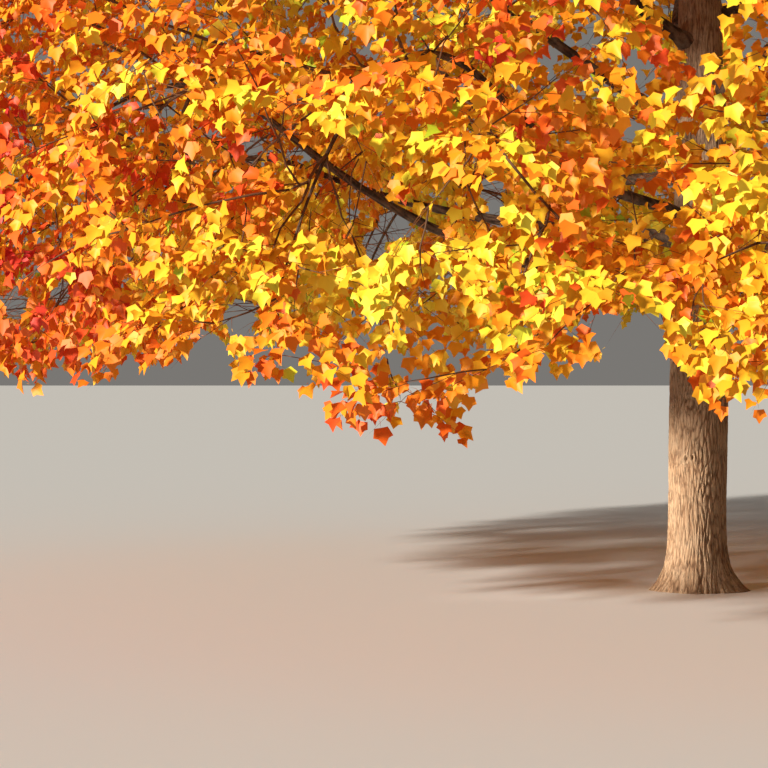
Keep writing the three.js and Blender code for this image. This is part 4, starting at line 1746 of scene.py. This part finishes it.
@dataclass
class Trunk:
    """The trunk from its flat cut to the fork, with furrowed bark, root ridges and collars."""

    plan: CrownPlan
    columns: int = 288
    lower_rows: int = 170
    upper_rows: int = 150
    lower_top: float = 1.8
    plates: BarkPlates = BarkPlates(around=56, length=0.19, furrow=0.38, seed=3)
    flakes: BarkPlates = BarkPlates(around=120, length=0.07, furrow=0.55, seed=5)
    plate_depth: float = 0.0052
    plate_middle: float = 0.7
    flake_depth: float = 0.0018
    flake_middle: float = 0.6
    plate_waver: float = 0.02
    furrows: int = 17
    furrow_depth: float = 0.012
    furrow_height: float = 0.22
    furrow_waver: float = 0.8
    # Painted shade and light of the marks: their relief times this darkens the colour in hollows and lightens
    # it on rims.
    mark_shade: float = 40.0
    full_girth: float = 0.2
    least_relief: float = 0.45
    collar: float = 0.028
    collar_spread: float = 1.5
    collar_height: float = 0.11
    cap_height: float = 0.06
    cap_radius: float = 0.004
    marks: tuple[BarkMark, ...] = (
        BarkMark(Mark.KNOT, 240, 0.955, 6.5, 0.030, 0.010),
        BarkMark(Mark.KNOT, 252, 0.965, 4.0, 0.022, 0.008),
        BarkMark(Mark.CREASE, 226, 0.905, 38, 0.010, 0.007),
        BarkMark(Mark.SCAR, 248, 1.36, 21, 0.085, 0.006),
        BarkMark(Mark.SCAR, 205, 1.30, 12, 0.060, 0.005),
        BarkMark(Mark.KNOT, 40, 1.62, 9, 0.045, 0.012),
        BarkMark(Mark.CREASE, 80, 0.70, 30, 0.010, 0.006),
        BarkMark(Mark.SCAR, 120, 2.2, 18, 0.07, 0.008),
    )

    def relief(self, turn: Array, heights: Array) -> tuple[Array, Array]:
        """Return the bark's relief.

        It is plate depth times the tall plates + flake depth times the small flakes, with as many long
        furrows round the foot as furrows says, (1 - |sin|)^2 deep and fading as exp(-height / furrow
        height), and the marks. A thinner trunk has less relief. The marks also go into the colour
        level, as painted shade in their hollows and grooves and painted light on their raised parts.

        Args:
            turn: share of a full turn.
            heights: heights above ground.

        Returns:
            Metres from the mean surface, and the colour level from 0 in a furrow to 1 on a plate,
            with the marks' painted shade and light in it.
        """
        plates = self.plates.height(turn, heights + self.plate_waver * np.sin(2 * np.pi * 4 * turn))
        flakes = self.flakes.height(turn, heights)
        # The colour level: darker in the furrows, partly the bark's own colour and partly painted shade.
        level = 0.7 * plates + 0.3 * flakes * plates
        relief = self.plate_depth * (plates - self.plate_middle)
        relief += self.flake_depth * (flakes - self.flake_middle)
        waver = np.sin(2 * np.pi * 3 * turn + 5 * heights)
        between = np.abs(np.sin(np.pi * self.furrows * turn + self.furrow_waver * waver))
        relief -= self.furrow_depth * (1 - between) ** 2 * np.exp(-heights / self.furrow_height)
        for mark in self.marks:
            rise = mark.relief(turn * 360, heights)
            relief += rise
            # Painted shade and light: the marks' relief darkens the colour level in hollows and grooves and
            # lightens it on rims.
            level += self.mark_shade * rise
        girth = self.plan.trunk.smooth_radius(heights)
        fade = np.clip(girth / self.full_girth, self.least_relief, 1.0)
        return relief * fade, np.clip(level, 0, 1)

    def collars(self, azimuths: Array, heights: Array) -> Array:
        """Return how far the trunk swells where each bough leaves it.

        Each is collar exp(-q^2), with q the distance over the bark in collar spreads of the bough's
        radius aside and in collar heights up or down.

        Args:
            azimuths: degrees.
            heights: heights above ground.

        Returns:
            Metres.
        """
        total = np.zeros(np.broadcast(azimuths, heights).shape)
        for bough in self.plan.boughs:
            course = bough.points(np.linspace(0, 0.25, 40))
            from_line = np.hypot(course[:, 0], course[:, 1])
            out = int(np.argmax(from_line > self.plan.trunk.mean_radius(course[:, 2])))
            where = np.degrees(np.arctan2(course[out, 1], course[out, 0]))
            radius = self.plan.trunk.mean_radius(course[out, 2])
            off = np.radians(degrees_from(azimuths, where)) * radius
            aside = off / (self.collar_spread * bough.tier.foot_radius)
            above = (heights - course[out, 2]) / self.collar_height
            total += self.collar * np.exp(-(np.hypot(aside, above) ** 2))
        return total

    def surface(self) -> Surface:
        """Return the trunk as a grid of level rings, closed at the cut and drawn in over the fork.

        A point is axis(height) + radius (cos azimuth, sin azimuth), with radius = girth + ridges +
        collars + relief.

        Returns:
            The closed surface with its relief.
        """
        form = self.plan.trunk
        lower = np.linspace(0, self.lower_top, self.lower_rows, endpoint=False)
        upper = np.linspace(self.lower_top, form.fork, self.upper_rows)
        heights = np.concatenate([lower, upper])[:, None]
        turn = (np.arange(self.columns) / self.columns)[None]
        azimuths = turn * 360
        relief, level = self.relief(turn + 0 * heights, heights + 0 * turn)
        radius = form.smooth_radius(heights) + form.flare(heights, azimuths)
        radius = radius + self.collars(azimuths, heights) + relief
        cap = np.sqrt(np.clip((form.fork - heights) / self.cap_height, 0, 1))
        radius = radius * np.where(heights > form.fork - self.cap_height, cap, 1.0)
        radius[-1] = self.cap_radius
        points = form.axis(heights + 0 * turn) + polar(azimuths + 0 * heights, radius, 0 * radius)
        rows, columns = points.shape[:2]
        ring = np.arange(columns)
        heel = fan(ring[::-1], rows * columns)
        head = fan((rows - 1) * columns + ring, rows * columns + 1)
        ends = np.array([form.axis(0.0), form.axis(form.fork)])
        vertices = np.vstack([points.reshape(-1, 3), ends])
        # The colour level goes to the bark's material, with the marks' painted shade and light in it.
        shade = np.append(level.ravel(), [0.5, 0.5])
        blocks = [ring_walls(rows, columns), heel, head]
        return Surface(vertices, blocks, [np.zeros(len(block)) for block in blocks], shade)


@dataclass
class Limbs:
    """The boughs, each with the stem that carries it on through its mass."""

    plan: CrownPlan
    twigs: Twigs
    sides: int = 16
    bough_rings: int = 64
    stem_rings: int = 44
    flare: float = 0.55
    flare_reach: float = 0.16
    depth: float = 0.10
    plate_middle: float = 0.6
    long_lump: float = 0.05
    short_lump: float = 0.04
    apart: float = 7.3
    plates: BarkPlates = BarkPlates(around=9, length=0.10, furrow=0.5, seed=8)

    def surface(self) -> Surface:
        """Return every limb as one tube whose radius tapers, flares at the trunk and carries relief.

        The radius is taper (1 + flare exp(-distance from the trunk's bark / flare reach)) (1 + depth
        (plates - plate middle) + long and short lumps). Each limb's pattern starts apart times its number
        along, so that no two are alike.

        Returns:
            The joined limbs with their relief.
        """
        share = np.linspace(0, 1, self.bough_rings)
        beyond = np.linspace(0, 1, self.stem_rings + 1)[1:]
        paths, radii = [], []
        for bough, growth in zip(self.plan.boughs, self.twigs.growths):
            course = bough.points(share)
            taper = bough.foot_radius * (1 - share) + bough.tip_radius * share
            axis = self.plan.trunk.axis(course[:, 2])
            away = np.hypot(course[:, 0] - axis[:, 0], course[:, 1] - axis[:, 1])
            out = np.maximum(0, away - self.plan.trunk.mean_radius(course[:, 2]))
            taper = taper * (1 + self.flare * np.exp(-out / self.flare_reach))
            stem = growth.stem_radii(beyond, self.twigs.end_radius, self.twigs.power)
            paths.append(np.vstack([course, bough.stem(beyond)]))
            radii.append(np.concatenate([taper, stem]))
        lines, thickness = np.array(paths), np.array(radii)
        steps = np.linalg.norm(np.diff(lines, axis=1), axis=2)
        along = np.concatenate([np.zeros((len(lines), 1)), np.cumsum(steps, axis=1)], axis=1)
        along = along + self.apart * np.arange(len(lines))[:, None]
        turn = (np.arange(self.sides) / self.sides)[None, None]
        level = self.plates.height(turn + 0 * along[..., None], along[..., None] + 0 * turn)
        lumps = self.long_lump * np.sin(9.0 * along[..., None] + 4 * np.pi * turn)
        lumps = lumps + self.short_lump * np.sin(23 * along[..., None])
        spread = thickness[..., None] * (1 + self.depth * (level - self.plate_middle) + lumps)
        surface = tubes(lines, spread, self.sides, np.zeros(len(lines)))
        ends = np.full((len(lines), 1), 0.5)
        # The plates' level also sets the limb bark's colour: dark furrows, partly own colour and partly
        # painted shade.
        surface.relief = np.concatenate([level[:, :-1].reshape(len(lines), -1), ends], axis=1).ravel()
        return surface


# Finishes.


Socket = bpy.types.NodeSocket
Values = dict[str | int, object]


class Nodes:
    """Short ways to place and feed a material's or group's shader nodes."""

    def __init__(self, tree: bpy.types.NodeTree) -> None:
        """Keep the tree that the nodes go into."""
        self.tree = tree

    def feed(self, node: bpy.types.Node, values: Values) -> None:
        """Link or set a node's inputs.

        Args:
            node: the node.
            values: what its inputs get, by name or number: another node's output, or a plain value.
        """
        for name, value in values.items():
            if isinstance(value, Socket):
                self.tree.links.new(value, node.inputs[name])
            else:
                node.inputs[name].default_value = value

    def add(self, kind: str, values: Values | None = None, **settings: object) -> bpy.types.Node:
        """Add a node.

        Args:
            kind: its type.
            values: what its inputs get.
            settings: its own settings, which are made first.

        Returns:
            The new node.
        """
        node = self.tree.nodes.new(kind)
        for name, value in settings.items():
            setattr(node, name, value)
        self.feed(node, values or {})
        return node

    def noise(self, place: Socket, scale: float, detail: float, **more: float) -> Socket:
        """Return noise at a place, with further inputs of its texture by their names."""
        values = {"Vector": place, "Scale": scale, "Detail": detail, **more}
        return self.add("ShaderNodeTexNoise", values).outputs["Fac"]

    def spread(self, value: Socket, old: tuple[float, float], new: tuple[float, float]) -> Socket:
        """Return a number moved from its old range to a new one and held in it."""
        values = {"Value": value, "From Min": old[0], "From Max": old[1], "To Min": new[0], "To Max": new[1]}
        return self.add("ShaderNodeMapRange", values).outputs[0]


def new_material(name: str) -> tuple[bpy.types.Material, Nodes, bpy.types.Node]:
    """Make a material with nodes.

    Args:
        name: its name.

    Returns:
        The material, its nodes and its main shader.
    """
    material = bpy.data.materials.new(name)
    material.use_nodes = True
    return material, Nodes(material.node_tree), material.node_tree.nodes["Principled BSDF"]


def bark_grain() -> bpy.types.NodeTree:
    """Build the group that both barks use for their fine grain and their weathered patches.

    Streaks are noise drawn out along the trunk, fissures a narrow band of finer drawn-out noise,
    patches broad noise, and height what the streaks and fissures lift.

    Returns:
        The shader node group.
    """
    group = bpy.data.node_groups.new("bark_grain", "ShaderNodeTree")
    face = group.interface
    face.new_socket("Vector", in_out="INPUT", socket_type="NodeSocketVector")
    face.new_socket("Scale", in_out="INPUT", socket_type="NodeSocketFloat").default_value = 1.0
    for name in ("Streaks", "Fissures", "Patches", "Height"):
        face.new_socket(name, in_out="OUTPUT", socket_type="NodeSocketFloat")
    nodes = Nodes(group)
    given = nodes.add("NodeGroupInput").outputs
    source = {0: given["Vector"], "Scale": given["Scale"]}
    scaled = nodes.add("ShaderNodeVectorMath", source, operation="SCALE").outputs[0]
    drawn = nodes.add("ShaderNodeMapping", {"Vector": scaled, "Scale": (1.0, 1.0, 0.16)}).outputs[0]
    streaks = nodes.noise(drawn, 62.0, 7.0, Roughness=0.62)
    cracks = nodes.noise(drawn, 120.0, 4.0, Roughness=0.5, Distortion=0.6)
    fissures = nodes.spread(cracks, (0.36, 0.5), (0.0, 1.0))
    patches = nodes.noise(scaled, 5.5, 4.0, Roughness=0.6)
    lifts = {0: streaks, 1: 0.6, 2: fissures}
    height = nodes.add("ShaderNodeMath", lifts, operation="MULTIPLY_ADD").outputs[0]
    outputs = {"Streaks": streaks, "Fissures": fissures, "Patches": patches, "Height": height}
    nodes.add("NodeGroupOutput", outputs)
    return group


@dataclass(frozen=True)
class BarkFinish:
    """Weathered bark: dark furrows and fine fissures, partly painted shade; brown slopes, paler plates,
    patches.
    """

    name: str
    furrow: tuple[int, int, int]
    slope: tuple[int, int, int]
    plate: tuple[int, int, int]
    patch: tuple[int, int, int]
    grain_scale: float
    bump: float
    roughness: float
    wear: float = 0.28
    gloss_range: float = 0.12
    crack_tone: float = 0.55

    def material(self, grain: bpy.types.NodeTree) -> bpy.types.Material:
        """Build the material.

        Args:
            grain: the shared grain group.

        Returns:
            The new material.
        """
        material, nodes, shader = new_material(self.name)
        place = nodes.add("ShaderNodeTexCoord").outputs["Object"]
        source = {"Vector": place, "Scale": self.grain_scale}
        fine = nodes.add("ShaderNodeGroup", source, node_tree=grain).outputs
        relief = nodes.add("ShaderNodeAttribute", attribute_name="relief").outputs["Fac"]
        wear = {0: fine["Streaks"], 1: self.wear, 2: -self.wear / 2}
        worn = nodes.add("ShaderNodeMath", wear, operation="MULTIPLY_ADD").outputs[0]
        level = nodes.add("ShaderNodeMath", {0: relief, 1: worn}, operation="ADD", use_clamp=True)
        # The ramp follows the relief: dark furrows, partly the bark's own colour and partly painted shade.
        ramp = nodes.add("ShaderNodeValToRGB", {"Fac": level.outputs[0]})
        stops = ramp.color_ramp.elements
        stops[0].position, stops[0].color = 0.05, srgb(*self.furrow)
        stops[1].position, stops[1].color = 0.95, srgb(*self.plate)
        stops.new(0.45).color = srgb(*self.slope)
        weather = nodes.spread(fine["Patches"], (0.45, 0.68), (0.0, 0.6))
        colours = {"Factor": weather, 6: ramp.outputs["Color"], 7: srgb(*self.patch)}
        patched = nodes.add("ShaderNodeMix", colours, data_type="RGBA").outputs[2]
        # Fissures darken the colour where the grain's height is low: partly own colour, partly painted shade.
        cracked = nodes.spread(fine["Fissures"], (0.0, 1.0), (self.crack_tone, 1.0))
        tone = nodes.add("ShaderNodeVectorMath", {0: patched, "Scale": cracked}, operation="SCALE")
        gloss = (self.roughness - self.gloss_range, self.roughness)
        rough = nodes.spread(fine["Streaks"], (0.0, 1.0), gloss)
        lifted = {"Height": fine["Height"], "Strength": 0.9, "Distance": self.bump}
        bump = nodes.add("ShaderNodeBump", lifted)
        values = {"Base Color": tone.outputs[0], "Roughness": rough, "Normal": bump.outputs[0]}
        nodes.feed(shader, {**values, "Specular IOR Level": 0.25})
        return material


@dataclass(frozen=True)
class PlainFinish:
    """One even colour, for things too small and many to carry a pattern."""

    name: str
    colour: Colour
    roughness: float
    specular: float
    # Strength of a painted glow: the colour is emitted whatever the lighting.
    glow: float = 0.0

    def material(self) -> bpy.types.Material:
        """Build the material, with a faint painted glow in its own colour that stands in for the light
        a thin blade lets through.

        Returns:
            The new material.
        """
        material, nodes, shader = new_material(self.name)
        values = {"Base Color": self.colour, "Roughness": self.roughness}
        nodes.feed(shader, {**values, "Specular IOR Level": self.specular})
        # Painted glow: the blade emits its own colour faintly, standing in for light let through it.
        if self.glow:
            nodes.feed(shader, {"Emission Color": self.colour, "Emission Strength": self.glow})
        return material


TRUNK_BARK = BarkFinish(
    name="bark",
    furrow=(112, 84, 62),
    slope=(150, 120, 92),
    plate=(162, 136, 110),
    patch=(174, 150, 124),
    grain_scale=1.0,
    bump=0.0024,
    roughness=0.92,
)
LIMB_BARK = BarkFinish(
    name="limb_bark",
    furrow=(46, 33, 25),
    slope=(84, 62, 47),
    plate=(114, 91, 72),
    patch=(128, 110, 92),
    grain_scale=2.2,
    bump=0.0015,
    roughness=0.9,
)
TWIG_BARK = PlainFinish("twig_bark", srgb(104, 74, 52), roughness=0.8, specular=0.3)
SHOOT_BARK = PlainFinish("shoot_bark", srgb(132, 78, 40), roughness=0.6, specular=0.35)


# Studio.


@dataclass
class Studio:
    """A plain pale floor, soft light with a low sun from the left, and the photograph's camera."""

    view: View
    floor_half: float = 120.0
    floor_colour: Colour = (0.74, 0.73, 0.71, 1.0)
    sky_colour: Colour = (0.92, 0.88, 0.82, 1.0)
    sky_strength: float = 0.21
    sun_direction: Triple = (-0.72, -0.64, 0.31)
    sun_colour: Triple = (1.0, 0.95, 0.86)
    sun_energy: float = 5.8
    sun_angle: float = 3.0
    lamp_place: Triple = (-8.2, -2.6, 0.95)
    lamp_target: Triple = (0.0, 0.0, 0.56)
    lamp_colour: Triple = (1.0, 0.90, 0.76)
    lamp_energy: float = 8400.0
    lamp_cone: float = 8.4
    lamp_blend: float = 0.3
    lamp_size: float = 0.25

    def build(self) -> None:
        """Make the floor, the lights and the camera."""
        self.lay_floor()
        self.light_sky()
        self.hang_sun()
        self.hang_low_lamp()
        self.set_camera()

    def lay_floor(self) -> None:
        """Lay the plain pale floor."""
        half = self.floor_half
        corners = np.array([(-half, -half, 0), (half, -half, 0), (half, half, 0), (-half, half, 0)], float)
        floor = Surface(corners, [np.array([[0, 1, 2, 3]])], [np.zeros(1)])
        finish = PlainFinish("floor_finish", self.floor_colour, roughness=0.9, specular=0.2)
        floor.to_object("floor", [finish.material()], False)

    def light_sky(self) -> None:
        """Light the scene evenly from all round, and show colours as they are."""
        world = bpy.data.worlds.new("studio_world")
        world.use_nodes = True
        background = world.node_tree.nodes["Background"]
        background.inputs["Color"].default_value = self.sky_colour
        background.inputs["Strength"].default_value = self.sky_strength
        bpy.context.scene.world = world
        bpy.context.scene.view_settings.view_transform = "Standard"

    def hang(self, light: bpy.types.Light, place: Vector, course: Vector) -> None:
        """Put a light into the scene.

        Args:
            light: the light.
            place: where it hangs.
            course: the direction from what it lights back to it.
        """
        piece = bpy.data.objects.new(light.name, light)
        piece.location = place
        piece.rotation_euler = course.to_track_quat("Z", "Y").to_euler()
        bpy.context.scene.collection.objects.link(piece)

    def hang_sun(self) -> None:
        """Hang the low sun, a little to the left of the viewpoint."""
        sun = bpy.data.lights.new("sun", "SUN")
        sun.energy = self.sun_energy
        sun.angle = np.radians(self.sun_angle)
        sun.color = self.sun_colour
        self.hang(sun, Vector((0.0, 0.0, 0.0)), Vector(self.sun_direction))

    def hang_low_lamp(self) -> None:
        """Hang the narrow lamp that lights the trunk's foot from the left, under the skirt."""
        lamp = bpy.data.lights.new("low_lamp", "SPOT")
        lamp.energy = self.lamp_energy
        lamp.color = self.lamp_colour
        lamp.spot_size = np.radians(self.lamp_cone)
        lamp.spot_blend = self.lamp_blend
        lamp.shadow_soft_size = self.lamp_size
        place = Vector(self.lamp_place)
        self.hang(lamp, place, place - Vector(self.lamp_target))

    def set_camera(self) -> None:
        """Set the camera where the photograph was taken from."""
        view = self.view
        lens = bpy.data.cameras.new("photograph")
        lens.sensor_fit = "HORIZONTAL"
        lens.sensor_width = view.sensor
        lens.lens = view.focal * view.sensor / view.picture
        camera = bpy.data.objects.new("photograph", lens)
        camera.location = view.position
        tilt = np.arctan((view.picture / 2 - view.horizon) / view.focal)
        camera.rotation_euler = (np.pi / 2 - tilt, 0.0, 0.0)
        bpy.context.scene.collection.objects.link(camera)
        bpy.context.scene.camera = camera


# The whole tree.


@dataclass
class MapleTree:
    """The tree: its trunk, its limbs, and the twigs and leaves of each mass."""

    plan: CrownPlan
    room: int = 190_000

    def finish_piece(self, piece: bpy.types.Object, slot: str, nodes: list[str], triangles: int) -> None:
        """Set a piece on the tree's one body, in place of its solids, and report it.

        Args:
            piece: the new piece.
            slot: the record's material slot; not used.
            nodes: the solids that it stands for.
            triangles: how many triangles it has.
        """
        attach(piece, "root")
        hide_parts(*nodes)
        LOG.info("%s: %d triangles for %d solids", piece.name, triangles, len(nodes))

    def groups(self, tier: Tier, leaves: Foliage, faces: int) -> list[list[Bough]]:
        """Share a tier's boughs out into runs whose leaves fit one piece.

        Args:
            tier: the tier.
            leaves: the leaves.
            faces: triangles of one leaf.

        Returns:
            Lists of boughs.
        """
        runs: list[list[Bough]] = [[]]
        total = 0
        for bough in (one for one in self.plan.boughs if one.tier is tier):
            size = int(np.sum(leaves.owners == bough.order)) * faces
            if total + size > self.room:
                runs.append([])
                total = 0
            runs[-1].append(bough)
            total += size
        return runs

    def build(self) -> None:
        """Build and dress the trunk, the limbs, the twigs and the leaves."""
        grain = bark_grain()
        trunk = Trunk(self.plan).surface()
        piece = trunk.to_object("trunk_bark", [TRUNK_BARK.material(grain)], True)
        self.finish_piece(piece, "bark", ["trunk"], trunk.triangles())

        twigs = Twigs(self.plan)
        limbs = Limbs(self.plan, twigs).surface()
        piece = limbs.to_object("boughs_and_stems", [LIMB_BARK.material(grain)], True)
        boughs = [f"{bough.name}_bough" for bough in self.plan.boughs]
        self.finish_piece(piece, "limb_bark", boughs, limbs.triangles())

        leaves = Foliage(self.plan, twigs)
        counts = (len(twigs.twigs.start), len(twigs.shoots.start), len(leaves.roots))
        LOG.info("%d twigs, %d shoots, %d leaves", *counts)
        wood = [TWIG_BARK.material(), SHOOT_BARK.material()]
        colours = [tint.finish().material() for tint in Tint]
        leaf_faces = len(leaves.form.faces()) + 1
        for tier in TIERS:
            for number, run in enumerate(self.groups(tier, leaves, leaf_faces), start=1):
                orders = [bough.order for bough in run]
                nodes = [f"{bough.name}_leaves" for bough in run]
                surface = twigs.surface(orders)
                piece = surface.to_object(f"{tier.name}_twigs_{number}", wood, True)
                self.finish_piece(piece, "limb_bark", nodes, surface.triangles())
                surface = leaves.surface(orders)
                piece = surface.to_object(f"{tier.name}_foliage_{number}", colours, True)
                self.finish_piece(piece, f"{tier.name}_leaves", nodes, surface.triangles())


def main() -> None:
    """Build the studio and the tree."""
    logging.basicConfig(level=logging.INFO, format="%(name)s: %(message)s")
    plan = CrownPlan()
    Studio(plan.view).build()
    MapleTree(plan).build()


if __name__ == "__main__":
    main()
